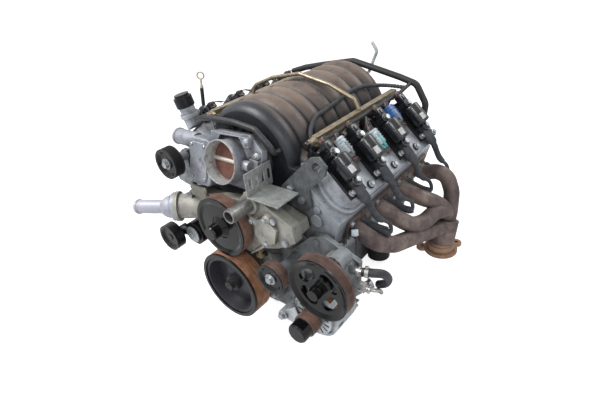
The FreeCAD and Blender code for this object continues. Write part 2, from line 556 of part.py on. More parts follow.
# Balancer: hub with dish, rubber, ring, bolt
bx, bz, br, bf, bb = BALANCER
save("balancer_hub", lathe([(18, -604), (22, -604), (22, -592), (70, -584), (76, bf + 4), (82, bf + 4),
                            (82, bb),
                            (60, -572), (HUB_R, -566), (HUB_R, SPROCKET_Y[0]), (18,
                                                                                SPROCKET_Y[0])], bx, bz))
save("balancer_rubber", lathe([(82, bf + 4), (84.5, bf + 4), (84.5, bb), (82, bb)], bx, bz))
save("balancer_ring", lathe([(84.5, bf), (br - 2, bf), (br, bf + 2)] + grooved(br, bf + 3, bf + 29)
                           + [(br - 2, bf + 30), (br - 2, bf + 34)] + grooved(br, bf + 35,
                                                                              bb - 1) + [(84.5,
                                                                                          bb)], bx, bz))
save("balancer_bolt", fuse([drum(20, bx, bz, -608, -604), hexagon(24, (bx, -620, bz), (bx, -608, bz)),
                            drum(8, bx, bz, -604, -600)]))

# Right accessory bracket, steering pump and pulley
sx, sz, sr, sf, sb = STEER
ax, az, ar, af, ab = ALT
ALT_R = 62.0
EAR = (150.0, -45.0)
plate = [(128, -58), (166, -58), (176, 60), (250, 62), (330, 92), (334, 150), (246, 184), (204, 170),
         (138, 104), (128, 66)]
bracket = fuse([slab(plate, -520, FRONT_Y), slab([(210, 148), (236, 148), (240, 180), (212, 176)], FRONT_Y,
                                                 HEAD_FRONT_Y),
                drum(14, IDLER_R[0], IDLER_R[1], IDLER_R[4] + 2, -520), drum(13, EAR[0], EAR[1], -560,
                                                                             -520)])
bracket = bracket.cut(drum(ALT_R, ax, az, -575, -460))
save("accessory_bracket_right", bracket)
pump = fuse([drum(42, sx, sz, -578, -520), drum(30, sx, sz, -584, -578),
             drum(19, sx + 16, sz + 46, -574, -530),
             rod(11, (sx + 20, -545, sz - 12), (sx + 62, -535, sz - 20)),
             rod(9, (sx + 20, -540, sz + 18), (sx + 58, -540, sz + 24))])
pump = pump.cut(drum(8 + GAP, sx, sz, -585, -540))
save("steering_pump", pump)
wheel = lathe([(0, sf - 16), (13, sf - 16), (15, sf - 4), (15, sf + 8), (62, sf + 5), (sr - 3, sf)]
              + grooved(sr, sf, sb, 4.0) + [(sr - 6, sb), (sr - 6, sf + 12), (20, sf + 15), (20, sf + 31),
                                            (8, sf + 31), (8, sf + 70), (0, sf + 70)], sx, sz)
for i in range(4):
    a0 = 90.0 * i + 27
    window = Part.Face(Part.makePolygon([V(sx + r, y, sz) for r, y in (
        (27, sf), (53, sf), (53, sf + 20), (27, sf + 20), (27, sf))])).revolve(V(sx, 0, sz), V(0, 1, 0), 36)
    ends = [drum(13, sx + 40 * math.cos(math.radians(a)), sz + 40 * math.sin(math.radians(a)), sf,
                 sf + 20) for a in (0, -36)]
    window = fuse([window] + ends)
    window.rotate(V(sx, 0, sz), V(0, 1, 0), a0)
    wheel = wheel.cut(window)
save("steering_pulley", wheel)

# Alternator
house = fuse([drum(ALT_R, ax, az, -568, -480), drum(ALT_R - 12, ax, az, -578, -568),
              drum(46, ax, az, -480, -468),
              drum(13, EAR[0], EAR[1], -590, -560), slab([(EAR[0], EAR[1] - 12), (ax - 30, az - 50),
                                                          (ax - 50, az + 10),
                                                          (EAR[0], EAR[1] + 12)], -584, -566)])
blades = []
for i in range(20):
    blade = box(ax + 40, ax + ALT_R - 1, -489, -472, az - 1.5, az + 1.5)
    blade.rotate(V(ax, 0, az), V(0, 1, 0), 18.0 * i)
    blades.append(blade)
house = house.cut(drum(ALT_R + 1, ax, az, -489, -479).cut(drum(46, ax, az, -490, -478))).multiFuse(blades)
house = house.removeSplitter()
slots = []
for i in range(16):
    slot = fuse([box(ax + 31, ax + 45, -579, -571, az - 3, az + 3),
                 box(ax + ALT_R - 5, ax + ALT_R + 1, -562, -542, az - 6, az + 6)])
    slot.rotate(V(ax, 0, az), V(0, 1, 0), 22.5 * i + 11)
    slots.append(slot)
house = house.cut(drum(8 + GAP, ax, az, -579, -500)).cut(Part.makeCompound(slots))
save("alternator_housing", house)
save("alternator_rotor", lathe([(0, -643), (22, -643), (25, -639), (25, -616)] + grooved(ar, af, ab)
                               + [(12, ab), (12, -579), (8, -579), (8, -501), (0, -501)], ax, az))

# Idlers and tensioner


def idler(spec, hub, face=None):
    x, z, r, f, b = spec
    return lathe([(hub + GAP, f + 6), (r - 12, f + 6), (r - 6, f)] + (face or [(r, f), (r, b)])
                 + [(r - 6, b), (r - 12, b - 6), (hub + GAP, b - 6)], x, z)


def idler_pin(spec, hub, seat):
    x, z, r, f, b = spec
    return fuse([drum(hub, x, z, f + 4, seat), drum(hub + 5, x, z, f + 2, f + 5.5),
                 hexagon(15, (x, f - 5, z), (x, f + 2, z))])


save("idler_pulley_left", idler(IDLER_L, 9, grooved(*IDLER_L[2:])))
save("idler_pulley_right", idler(IDLER_R, 9))
lx, lz = IDLER_L[0], IDLER_L[1]
left_plate = [(-184, 240), (-130, 230), (-127, 334), (-142, 334), (-186, 296)]
left_bracket = fuse([slab(left_plate, -564, -552), drum(11, lx, lz, IDLER_L[4] + 2, -564)]
                    + [drum(9, x, z, -552, HEAD_FRONT_Y + BANK_STAGGER)
                       for x, z in ((-170, 258), (-142, 244), (-176, 288))])
save("accessory_bracket_left", left_bracket)
tx, tz = TENS_PIVOT
base = fuse([drum(34, tx, tz, -558, FRONT_Y), slab([(-150, 70), (-60 - 38, 20), (-60 - 38, 90),
                                                    (-120, 128)],
                                                   -530, FRONT_Y)])
base = base.fuse(drum(10, tx, tz, -594, -558)).removeSplitter()
save("tensioner_base", base)
px2, pz2 = TENS[0], TENS[1]
arm = fuse([drum(33, tx, tz, -590, -560), rod(12, (tx, -581, tz), (px2, -581, pz2)),
            drum(14, px2, pz2, TENS[4] + 2, -565),
            drum(9, px2, pz2, TENS[3] + 4, -565)])
arm = arm.cut(drum(10 + GAP, tx, tz, -595, -555))
save("tensioner_arm", arm)
save("tensioner_pulley", idler(TENS, 9))

# Zinc bolts: idler and tensioner pins, cover, bracket and manifold bolts
bolts = pan_bolts + [idler_pin(IDLER_L, 9, IDLER_L[4] + 2), idler_pin(IDLER_R, 9, IDLER_R[4] + 2),
         fuse([drum(24, tx, tz, -597, -594), hexagon(13, (tx, -602, tz), (tx, -597, tz))])]
for x, z, y in ((153, 85, -520), (222, 162, -520), (150, 30, -520),
                *[(x, z, PUMP_FACE) for x, z in PUMP_BOLTS],
                (88, -40, COVER_Y), (-88, -40, COVER_Y), (88, 60, COVER_Y), (-88, 60, COVER_Y)):
    bolts.append(bolt(15, 8, 4, 10, (x, y, z), (0, -1, 0)))
bolts.append(bolt(15, 8, 5, 20, (EAR[0], -590, EAR[1]), (0, -1, 0)))
for s in (1, -1):
    for y in INTAKE_BOLT_Y:
        bolts.append(bolt(12, 6, 3.5, 14, (s * INTAKE_BOLT[0], y, INTAKE_BOLT[1]), (0, 0, 1)))

# Exhaust manifolds
FLANGE_T = 8.0
OUTLET = (378.0, -168.0, -24.0)
OUTLET_R = 27.0
TUBE_R = 21.0
x0, z0 = bank_xz(face_t, face_d)


def port(y, off):
    t, yy, d = face_point(y, off)
    x, z = bank_xz(t, d)
    return (x, yy, z)


flange = section([face_point(0, 0, -34)[::2], face_point(0, FLANGE_T, -34)[::2],
                  face_point(0, FLANGE_T, 34)[::2], face_point(0, 0,
                                                               34)[::2]], BORES[0] - 30, BORES[3] + 34)
flange = flange.cut(Part.makeCompound([rod(12, face_point(y + PLUG_DY, -1),
                                           face_point(y + PLUG_DY, 9)) for y in BORES]))
flange.rotate(V(0, 0, 0), V(0, 1, 0), 45)
paths = [
    [port(BORES[0], 4), port(BORES[0], 30), (318, -418, 132), (334, -360, 98), (350, -270, 74),
     (368, -195, 56),
     (379, -150, 44)],
    [port(BORES[1], 4), port(BORES[1], 30), (322, -312, 138), (342, -278, 108), (354, -238, 100),
     (366, -192, 112),
     (377, -148, 92)],
    [port(BORES[2], 4), port(BORES[2], 30), (326, -206, 148), (352, -186, 134), (372, -156, 106),
     (378, -144, 70)],
    [port(BORES[3], 4), port(BORES[3], 30), (322, -98, 176), (354, -100, 168), (373, -108, 130),
     (379, -126, 80),
     (379, -140, 44)],
]
parts = [flange] + [bent(p, TUBE_R) for p in paths]
parts += [rod(32, (379, -142, 62), (378, -166, -6)), rod(34, (378, -168, -14), (378, -164, 2)),
          rod(44, (OUTLET[0], OUTLET[1], OUTLET[2]), (OUTLET[0], OUTLET[1], OUTLET[2] + 10))]
exhaust = fuse(parts)
exhaust = exhaust.cut(rod(OUTLET_R, (OUTLET[0], OUTLET[1], OUTLET[2] - 1),
                          (OUTLET[0], OUTLET[1], OUTLET[2] + 30)))
save("exhaust_manifold_right", exhaust)
other = exhaust.mirror(V(0, 0, 0), V(1, 0, 0))
other.translate(V(0, BANK_STAGGER, 0))
save("exhaust_manifold_left", other)
for y in BORES:
    for along in (-27, 27):
        for dy in (-22,):
            p = face_point(y + dy, FLANGE_T, along)
            q = face_point(y + dy, FLANGE_T + 1, along)
            bolts += both(bolt(13, 6, 4, 16, p, tuple(V(*q) - V(*p))))

# Oil filler, dipstick
fill_a, fill_b = V(-238, -440, 330), V(-249, -447, 392)
fill_dir = (fill_b - fill_a).normalize()
neck = fuse([rod(21, tuple(fill_a), tuple(fill_b)), rod(26, tuple(fill_a + fill_dir * 34),
                                                        tuple(fill_a + fill_dir * 44))])
left_cover = bank(rounded(COVER_T[0] - 10, COVER_T[1], COVER_END_Y[0] - 10, COVER_END_Y[1], HEAD_D, COVER_D,
                          44), -1)
neck = neck.cut(left_cover).cut(rod(17, tuple(fill_b - fill_dir * 30), tuple(fill_b + fill_dir)))
save("oil_filler_neck", neck)
save("oil_filler_cap", fuse([rod(25, tuple(fill_b), tuple(fill_b + fill_dir * 26)),
                             rod(20, tuple(fill_b + fill_dir * 26), tuple(fill_b + fill_dir * 34)),
                             rod(17 - GAP, tuple(fill_b - fill_dir * 12), tuple(fill_b))]))
dip_a, dip_b = V(-330, -342, 210), V(-330, -320, 396)
dip_dir = (dip_b - dip_a).normalize()
stem = bent([(-118, -342, 0), (-150, -342, 28), (-310, -342, 150), tuple(dip_a - dip_dir * 10),
             tuple(dip_b)], 5.5)
stem = stem.cut(block).cut(rod(3.2, tuple(dip_a), tuple(dip_b + dip_dir)))
save("dipstick_tube", stem)
top = dip_b + dip_dir * 26
RING = 10.0
loop_c = top + dip_dir * RING
handle = Part.makeTorus(RING, 2.4, loop_c, V(0.6, -0.8, 0))
save("dipstick", fuse([rod(2.9, tuple(dip_a + dip_dir * 4), tuple(top)),
                       rod(5.4, tuple(dip_b), tuple(dip_b + dip_dir * 8)),
                       handle]))

# Brackets at the front right, steam pipe
eye_pts = [(t, HEAD_D + d) for t, d in ((-108, -63), (-30, -63), (-26, -27), (-58, 0), (-58, 63), (-70, 83),
                                        (-96, 83), (-108, 63))]
eye = section(eye_pts, HEAD_FRONT_Y - 6, HEAD_FRONT_Y)
eye = eye.cut(rod(12, (-83, HEAD_FRONT_Y - 7, HEAD_D + 60), (-83, HEAD_FRONT_Y + 1, HEAD_D + 60)))
save("lifting_eye", bank(eye, 1))
bolts += [bank(bolt(15, 8, 5, 14, (t, HEAD_FRONT_Y - 6, d), (0, -1, 0)), 1) for t,
          d in ((-52, HEAD_D - 34), (-88, HEAD_D - 39))]
slots = [box(90, 102, -580 + 20 * i, -571 + 20 * i, 292, 318) for i in range(4)]
SLOT_Z = 276.0
upright = box(94, 97, -590, -506, SLOT_Z, 334).cut(Part.makeCompound(slots))
shelf = slab([(97, SLOT_Z), (182, SLOT_Z), (182, SLOT_Z + 3), (97, SLOT_Z + 3)], -590, -518)
tab = box(94, 108, PUMP_FACE, COVER_Y - 3, SLOT_Z - 1, SLOT_Z)
save("slotted_bracket", fuse([upright, shelf, tab]))
steam = bent([(-152, HEAD_FRONT_Y + BANK_STAGGER, 268), (-152, -492, 268), (-104, -502, 264),
              (-72, -502, 228),
              (72, -502, 228), (108, -512, 246), (133, -514, 246), (133, HEAD_FRONT_Y, 246)], 4)
save("steam_pipe", steam)

# Hoses and wiring
vent = bent([(-196, -462, 366), (-150, -476, 384), (-90, -490, 396), (-10, -497, 402), (56, -500, 397),
             (98, -503, 366), (104, -498, 346), (104, INTAKE_Y[0], 346)], 7.5)
save("vent_hose", vent)
LOOM_R, BRANCH_R = 9.0, 5.0
loom_y = INTAKE_Y[1] + LOOM_R + GAP
head_back = HEAD_REAR_Y + LOOM_R + GAP
branch_x, branch_z = bank_xz(-118 - BRANCH_R - GAP, COVER_D + 10)
loom = bent([(-214, COIL_Y[-1][3] + BANK_STAGGER + 13 + LOOM_R + GAP, 381), (-160, -27, 398),
             (-92, loom_y, 412),
             (20, loom_y, 432), (104, loom_y, 414), (168, head_back, 398), (218, head_back, 384),
             (248, head_back, 332), (238, head_back, 240)], LOOM_R)
branch = bent([(branch_x - 6, -452, branch_z - 26), (branch_x, -428, branch_z), (branch_x, -96, branch_z),
               (branch_x, head_back - LOOM_R - BRANCH_R, 386)], BRANCH_R)
save("wiring_loom", [loom, branch])
save("vacuum_pipe", bent([(60, INTAKE_Y[1], 396), (60, -8, 396), (76, -8, 436), (88, -10, 460),
                          (72, -10, 484)], 4.5))
plugs_c = []
for y, t, w in ((-300, -56, 11), (-184, -84, 11), (-408, -84, 8)):
    plugs_c.append(bank(box(t - 26, t + 26, y - w, y + w, COVER_D, COVER_D + 24), 1))
save("connectors", plugs_c)
save("bolts", bolts)
print("done")
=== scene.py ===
import math
import random

import bmesh
import bpy
from mathutils import Matrix, Vector


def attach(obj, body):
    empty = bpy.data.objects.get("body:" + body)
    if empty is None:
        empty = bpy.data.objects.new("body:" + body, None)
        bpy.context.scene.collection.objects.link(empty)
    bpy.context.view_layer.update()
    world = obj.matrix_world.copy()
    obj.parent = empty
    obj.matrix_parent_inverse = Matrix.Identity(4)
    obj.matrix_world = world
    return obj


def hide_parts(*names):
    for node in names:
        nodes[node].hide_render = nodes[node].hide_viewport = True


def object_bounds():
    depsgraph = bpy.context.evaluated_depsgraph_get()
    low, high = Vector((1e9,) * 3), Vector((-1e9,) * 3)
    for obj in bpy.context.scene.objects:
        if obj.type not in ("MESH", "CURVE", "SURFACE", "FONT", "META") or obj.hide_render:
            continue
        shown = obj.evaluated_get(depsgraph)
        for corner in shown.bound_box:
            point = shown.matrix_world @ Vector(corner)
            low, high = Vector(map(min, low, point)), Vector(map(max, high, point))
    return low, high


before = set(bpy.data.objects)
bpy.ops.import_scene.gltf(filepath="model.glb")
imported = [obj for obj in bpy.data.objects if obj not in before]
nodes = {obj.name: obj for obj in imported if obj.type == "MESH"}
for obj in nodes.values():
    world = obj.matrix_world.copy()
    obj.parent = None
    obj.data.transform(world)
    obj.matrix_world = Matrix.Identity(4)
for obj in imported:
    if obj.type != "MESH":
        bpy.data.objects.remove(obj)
cad_box = [list(corner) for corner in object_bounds()]

# Lengths are in mm, which MM or ENGINE turns to metres. side is 1 for the right bank and -1 for the left one.
MM = 0.001
ENGINE = Matrix.Scale(MM, 4)
HALF = math.sqrt(0.5)  # sine and cosine of a bank's 45 degrees
BANK_STAGGER = 24.0
SIDES = ((1, 0.0), (-1, BANK_STAGGER))
BORE_PITCH = 111.76
BORE_Y = [-433.6 + BORE_PITCH * i for i in range(4)]
COIL_Y = {1: (-461.0, -358.0, -241.5, -126.0), -1: (-408.0, -296.0, -184.0, -73.0)}
COIL_D = 426.0  # height of the coils along the bore
COIL_R = 17.0
COIL_LIFT = 1.5  # their drawn bodies stand this much above COIL_D
NECK_DROP = 9.0  # and their necks this much below
PLUG_DY = 40.0
COVER_D = 402.0  # top of the valve covers along the bore
HEAD_FACE = ((85.0, 262.0), (42.0, 345.0))  # lower and upper end of the exhaust face, in bank coordinates
RAIL = (178.0, 372.0)
PUMP_FACE = -572.0
THROTTLE_Y, THROTTLE_Z, THROTTLE_TILT = -572.0, 334.0, math.radians(14)
LIP_R, LIP_DEPTH, BORE_R, SPINDLE_R = 53.0, 8.5, 49.7, 5.0
RIB_PITCH = 3.56
OUTLET = (378.0, -168.0, -24.0)
WIRE_R = 1.1


def srgb(r, g, b):
    """Linear colour of an 8-bit sRGB one."""
    def lin(c):
        c /= 255
        return c / 12.92 if c <= 0.04045 else ((c + 0.055) / 1.055) ** 2.4
    return (lin(r), lin(g), lin(b), 1.0)


class Surface:
    """A principled material built up from layers of colour."""

    def __init__(self, name, color, rough, metal=0.0, coat=0.0, round_edges=0.0008):
        self.mat = bpy.data.materials.new(name)
        self.mat.use_nodes = True
        self.tree = self.mat.node_tree
        self.bsdf = self.tree.nodes["Principled BSDF"]
        self.coords = self.add("ShaderNodeTexCoord").outputs["Object"]
        self.color = srgb(*color)
        self.rough = rough
        self.bsdf.inputs["Metallic"].default_value = metal
        self.bsdf.inputs["Coat Weight"].default_value = coat
        self.bsdf.inputs["Coat Roughness"].default_value = 0.12
        self.height = None
        self.round_edges = round_edges

    def add(self, kind, **values):
        """New node with the given inputs."""
        node = self.tree.nodes.new(kind)
        for key, value in values.items():
            self.put(node.inputs[key.replace("_", " ")], value)
        return node

    def put(self, socket, value):
        """Links value to the socket, or sets it when it is a plain number or colour."""
        if isinstance(value, bpy.types.NodeSocket):
            self.tree.links.new(value, socket)
        else:
            socket.default_value = value

    def math(self, op, a, b=0.0, clamp=False):
        node = self.tree.nodes.new("ShaderNodeMath")
        node.operation = op
        node.use_clamp = clamp
        self.put(node.inputs[0], a)
        self.put(node.inputs[1], b)
        return node.outputs[0]

    def band(self, value, low, high, out_low=0.0, out_high=1.0):
        node = self.add("ShaderNodeMapRange", Value=value, From_Min=low, From_Max=high,
                        To_Min=out_low, To_Max=out_high)
        return node.outputs["Result"]

    def noise(self, scale, low=0.35, high=0.65, detail=5.0, stretch=None):
        """Mask from 0 to 1 between the noise values low and high."""
        source = self.coords
        if stretch:
            mapping = self.add("ShaderNodeMapping", Vector=source)
            mapping.inputs["Scale"].default_value = stretch
            source = mapping.outputs[0]
        tex = self.add("ShaderNodeTexNoise", Vector=source, Scale=scale, Detail=detail, Roughness=0.6)
        return self.band(tex.outputs["Fac"], low, high)

    def crevice(self, distance=0.02, low=0.35, high=0.85):
        """Mask that is 1 in inner corners."""
        node = self.add("ShaderNodeAmbientOcclusion", Distance=distance)
        node.samples = 6
        return self.band(node.outputs["AO"], low, high, 1.0, 0.0)

    def edge(self, distance=0.003, low=0.5, high=0.85):
        """Mask that is 1 on outer edges."""
        node = self.add("ShaderNodeAmbientOcclusion", Distance=distance)
        node.inside = True
        node.samples = 6
        return self.band(node.outputs["AO"], low, high, 1.0, 0.0)

    def axis(self, name):
        return self.add("ShaderNodeSeparateXYZ", Vector=self.coords).outputs[name]

    def radius(self, x, z):
        """Distance from the line along Y through x, z in mm."""
        dx = self.math("SUBTRACT", self.axis("X"), x * MM)
        dz = self.math("SUBTRACT", self.axis("Z"), z * MM)
        total = self.math("ADD", self.math("MULTIPLY", dx, dx), self.math("MULTIPLY", dz, dz))
        return self.math("SQRT", total)

    def upward(self, low=0.2, high=0.9):
        """Mask that is 1 where the surface faces up."""
        normal = self.add("ShaderNodeNewGeometry").outputs["Normal"]
        return self.band(self.add("ShaderNodeSeparateXYZ", Vector=normal).outputs["Z"], low, high)

    def layer(self, color, mask, rough=None, amount=1.0):
        """Lays a colour, and a roughness where one is given, over what is there."""
        if amount != 1.0:
            mask = self.math("MULTIPLY", mask, amount)
        mix = self.tree.nodes.new("ShaderNodeMix")
        mix.data_type = "RGBA"
        self.put(mix.inputs[0], mask)
        self.put(mix.inputs[6], self.color)
        self.put(mix.inputs[7], srgb(*color))
        self.color = mix.outputs[2]
        if rough is not None:
            blend = self.tree.nodes.new("ShaderNodeMix")
            self.put(blend.inputs[0], mask)
            self.put(blend.inputs[2], self.rough)
            self.put(blend.inputs[3], rough)
            self.rough = blend.outputs[0]
        return self

    def grain(self, scale, depth, detail=3.0, stretch=None):
        """Adds surface relief of the given depth in metres."""
        value = self.math("MULTIPLY", self.noise(scale, 0.2, 0.8, detail, stretch), depth)
        self.height = value if self.height is None else self.math("ADD", self.height, value)
        return self

    def done(self):
        """Links colour, roughness, rounded edges and relief to the shader."""
        self.put(self.bsdf.inputs["Base Color"], self.color)
        self.put(self.bsdf.inputs["Roughness"], self.rough)
        normal = self.add("ShaderNodeBevel", Radius=self.round_edges)
        normal.samples = 4
        if self.height is not None:
            normal = self.add("ShaderNodeBump", Height=self.height, Distance=1.0, Strength=1.0,
                              Normal=normal.outputs[0])
        self.tree.links.new(normal.outputs[0], self.bsdf.inputs["Normal"])
        return self.mat


def cast(name, color, light, dirt_and_shade=(52, 46, 40), metal=0.25, rough=0.5, grit=0.00025, grime_and_shade=0.9,
         extra=None):
    """Sand-cast metal: cloudy tone, oily streaks, pitted skin, soiling and painted shade in the corners,
    rubbed edges with a painted highlight.
    """
    s = Surface(name, color, rough, metal, round_edges=0.0018)
    s.layer(light, s.noise(14), rough - 0.08)
    s.layer(tuple(c * 0.78 for c in color), s.noise(46, 0.5, 0.72), rough + 0.1, 0.8)
    s.layer(tuple(c * 0.62 for c in color), s.noise(9, 0.52, 0.78, stretch=(1, 1, 0.4)), rough + 0.05, 0.55)
    s.layer(dirt_and_shade, s.math("MULTIPLY", s.noise(150, 0.56, 0.7), s.noise(11, 0.35, 0.7)), 0.75, 0.6)
    # Soiling and painted shade in the corners, from an occlusion mask
    s.layer(dirt_and_shade, s.math("MULTIPLY", s.crevice(0.035), s.noise(30, 0.15, 0.55)), 0.75, grime_and_shade)
    # Rubbed edges, lighter, with a painted highlight along them
    s.layer(light, s.edge(0.004), rough - 0.15, 0.7)
    if extra:
        extra(s)
    s.grain(700, grit).grain(160, grit)
    return s.done()


def throttle_place(s):
    """Distance in metres along the tilted throttle axis and upwards across it."""
    dy = s.math("SUBTRACT", s.axis("Y"), THROTTLE_Y * MM)
    dz = s.math("SUBTRACT", s.axis("Z"), THROTTLE_Z * MM)
    cos, sin = math.cos(THROTTLE_TILT), math.sin(THROTTLE_TILT)
    depth = s.math("SUBTRACT", s.math("MULTIPLY", dy, cos), s.math("MULTIPLY", dz, sin))
    across = s.math("ADD", s.math("MULTIPLY", dz, cos), s.math("MULTIPLY", dy, sin))
    return depth, across


def machined_bore(s):
    """Bright turned lip and bore of the throttle."""
    depth, across = throttle_place(s)
    x = s.axis("X")
    radius = s.math("SQRT", s.math("ADD", s.math("MULTIPLY", x, x), s.math("MULTIPLY", across, across)))
    lip = s.math("MULTIPLY", s.band(radius, (LIP_R - 0.3) * MM, LIP_R * MM, 1.0, 0.0),
                 s.band(depth, (LIP_DEPTH - 1) * MM, LIP_DEPTH * MM, 1.0, 0.0))
    bore = s.math("MAXIMUM", lip, s.band(radius, (BORE_R - 0.3) * MM, BORE_R * MM, 1.0, 0.0))
    s.layer((172, 172, 171), bore, 0.3, 0.9)
    s.layer((96, 90, 85), s.math("MULTIPLY", bore, s.noise(90, 0.5, 0.7)), 0.5, 0.8)


def steel_spindle(s):
    """Pale steel where the butterfly's spindle crosses it."""
    across = s.math("ABSOLUTE", throttle_place(s)[1])
    s.layer((206, 200, 188), s.band(across, SPINDLE_R * MM, (SPINDLE_R + 0.3) * MM, 1.0, 0.0), 0.3)


def gloss_black(name, color=(14, 14, 16), rough=0.16, dust=0.3, grit=0.00006, shine=0.28):
    """Dusty black paint or moulding, not yet done() so that more layers can follow."""
    s = Surface(name, color, rough, 0.0, 0.08)
    s.bsdf.inputs["Specular IOR Level"].default_value = shine
    s.layer((64, 58, 54), s.math("MULTIPLY", s.noise(26, 0.45, 0.8), s.noise(300, 0.3, 0.6)), 0.55, dust)
    s.layer((48, 43, 40), s.crevice(0.008, 0.2, 0.8), 0.6, dust)
    s.layer((40, 40, 42), s.edge(0.002), rough + 0.1, 0.6)
    s.grain(220, grit)
    return s


def rubber(name, color=(20, 20, 22), light=(38, 37, 37), rough=0.58):
    """Black rubber or woven sleeve with dust on top."""
    s = Surface(name, color, rough)
    s.layer(light, s.noise(60, 0.4, 0.75), rough + 0.1)
    s.layer((78, 72, 66), s.math("MULTIPLY", s.upward(), s.noise(140, 0.45, 0.8)), 0.8, 0.3)
    s.grain(500, 0.0002)
    return s.done()


def bare_metal(name, color, rough=0.3, metal=0.9, dirt_and_shade=(70, 54, 42), grime_and_shade=0.6, extra=None):
    """Smooth metal with stains, and soiling and painted shade in its corners."""
    s = Surface(name, color, rough, metal)
    s.layer(tuple(c * 0.78 for c in color), s.noise(70), rough + 0.15)
    s.layer(dirt_and_shade, s.math("MULTIPLY", s.noise(120, 0.55, 0.72), s.noise(16, 0.4, 0.65)), 0.6, 0.6)
    # Soiling and painted shade in the corners, from an occlusion mask
    s.layer(dirt_and_shade, s.math("MULTIPLY", s.crevice(0.01), s.noise(90, 0.2, 0.6)), 0.7, grime_and_shade)
    if extra:
        extra(s)
    s.grain(900, 0.00005)
    return s.done()


def belt_pulley(name, x, z, r, rust, start, ribs):
    """Black painted wheel whose belt face, behind start in mm, has worn to rust, with or without ribs."""
    s = gloss_black(name, (12, 12, 14), 0.17, 0.14)
    face = s.band(s.radius(x, z), (r - 4) * MM, (r - 2.2) * MM)
    if start is not None:
        face = s.math("MULTIPLY", face, s.band(s.axis("Y"), (start - 1) * MM, start * MM))
    s.layer(rust, face, 0.42)
    s.layer(tuple(c * 0.6 for c in rust), s.math("MULTIPLY", face, s.noise(45, 0.4, 0.7)), 0.6, 0.8)
    s.layer(tuple(min(255, c * 1.25) for c in rust),
            s.math("MULTIPLY", face, s.noise(30, 0.5, 0.8, stretch=(0.2, 4.0, 0.2))), 0.4, 0.6)
    if ribs:
        wave = s.math("SINE", s.math("MULTIPLY", s.axis("Y"), 2 * math.pi / (RIB_PITCH * MM)))
        # Painted shade in the rib grooves
        groove = s.math("MULTIPLY", face, s.band(wave, -0.9, 0.0, 1.0, 0.0))
        s.layer(tuple(c * 0.35 for c in rust), groove, 0.6, 0.8)
        s.height = s.math("ADD", s.height, s.math("MULTIPLY", s.math("MULTIPLY", wave, face), 0.0004))
    return s.done()


def rusty_iron():
    """Exhaust iron, browner at the outlets, with painted shade in its corners and painted light on its upward
    faces.
    """
    s = Surface("exhaust_iron", (98, 84, 82), 0.55, 0.25, round_edges=0.0025)
    s.layer((132, 116, 108), s.noise(14, 0.4, 0.65), 0.45)
    s.layer((62, 53, 56), s.noise(30, 0.45, 0.7), 0.65, 0.85)
    s.layer((124, 84, 60), s.math("MULTIPLY", s.noise(50, 0.5, 0.75), s.noise(9, 0.4, 0.6)), 0.8, 0.7)
    # Painted light on the upward faces
    s.layer((150, 138, 130), s.math("MULTIPLY", s.upward(0.6, 1.0), s.noise(40, 0.45, 0.7)), 0.55, 0.5)
    low = s.band(s.axis("Z"), 0.0, 0.012, 1.0, 0.0)
    s.layer((176, 136, 106), s.math("MULTIPLY", low, s.noise(40, 0.2, 0.6)), 0.75, 0.85)
    # Painted shade in the corners
    s.layer((26, 21, 21), s.crevice(0.03, 0.2, 0.7), 0.8, 0.85)
    s.grain(420, 0.0004).grain(90, 0.0005)
    return s.done()


def intake_plastic():
    """Black moulding with brown dust and a painted sheen on top of the runners, painted highlights on their
    crests and painted shade in its valleys and corners.
    """
    s = Surface("intake_nylon", (36, 38, 43), 0.34, round_edges=0.003)
    s.bsdf.inputs["Specular IOR Level"].default_value = 0.4
    s.layer((50, 52, 57), s.noise(9, 0.38, 0.65), 0.4)
    back = s.band(s.axis("Y"), -0.46, -0.42)
    top = s.math("MULTIPLY", s.upward(0.25, 0.85), back)
    # Brown dust and a painted sheen on the upward faces of the runners
    s.layer((106, 92, 83), s.math("MULTIPLY", top, s.noise(7, 0.15, 0.5)), 0.42, 0.95)
    # Painted highlight on the crests of the runners
    crest = s.math("MULTIPLY", s.upward(0.65, 1.0), back)
    s.layer((142, 122, 107), s.math("MULTIPLY", crest, s.noise(16, 0.3, 0.7)), 0.48, 0.75)
    s.layer((62, 52, 48), s.math("MULTIPLY", top, s.noise(36, 0.5, 0.75)), 0.5, 0.7)
    s.layer((112, 100, 90), s.math("MULTIPLY", s.upward(0.3, 1.0), s.noise(420, 0.6, 0.75)), 0.7, 0.35)
    # Painted shade in the valleys and corners
    s.layer((13, 13, 15), s.crevice(0.03, 0.3, 0.85), 0.7, 0.9)
    s.grain(600, 0.00018).grain(60, 0.0003)
    return s.done()


def plastic(name, color, rough=0.35):
    """Coloured moulding, slightly stained, with soiling and painted shade in its corners."""
    s = Surface(name, color, rough)
    s.layer(tuple(c * 0.72 for c in color), s.noise(120, 0.4, 0.7), rough + 0.15)
    # Soiling and painted shade in the corners
    s.layer((84, 74, 62), s.crevice(0.006, 0.2, 0.8), 0.7, 0.6)
    return s.done()


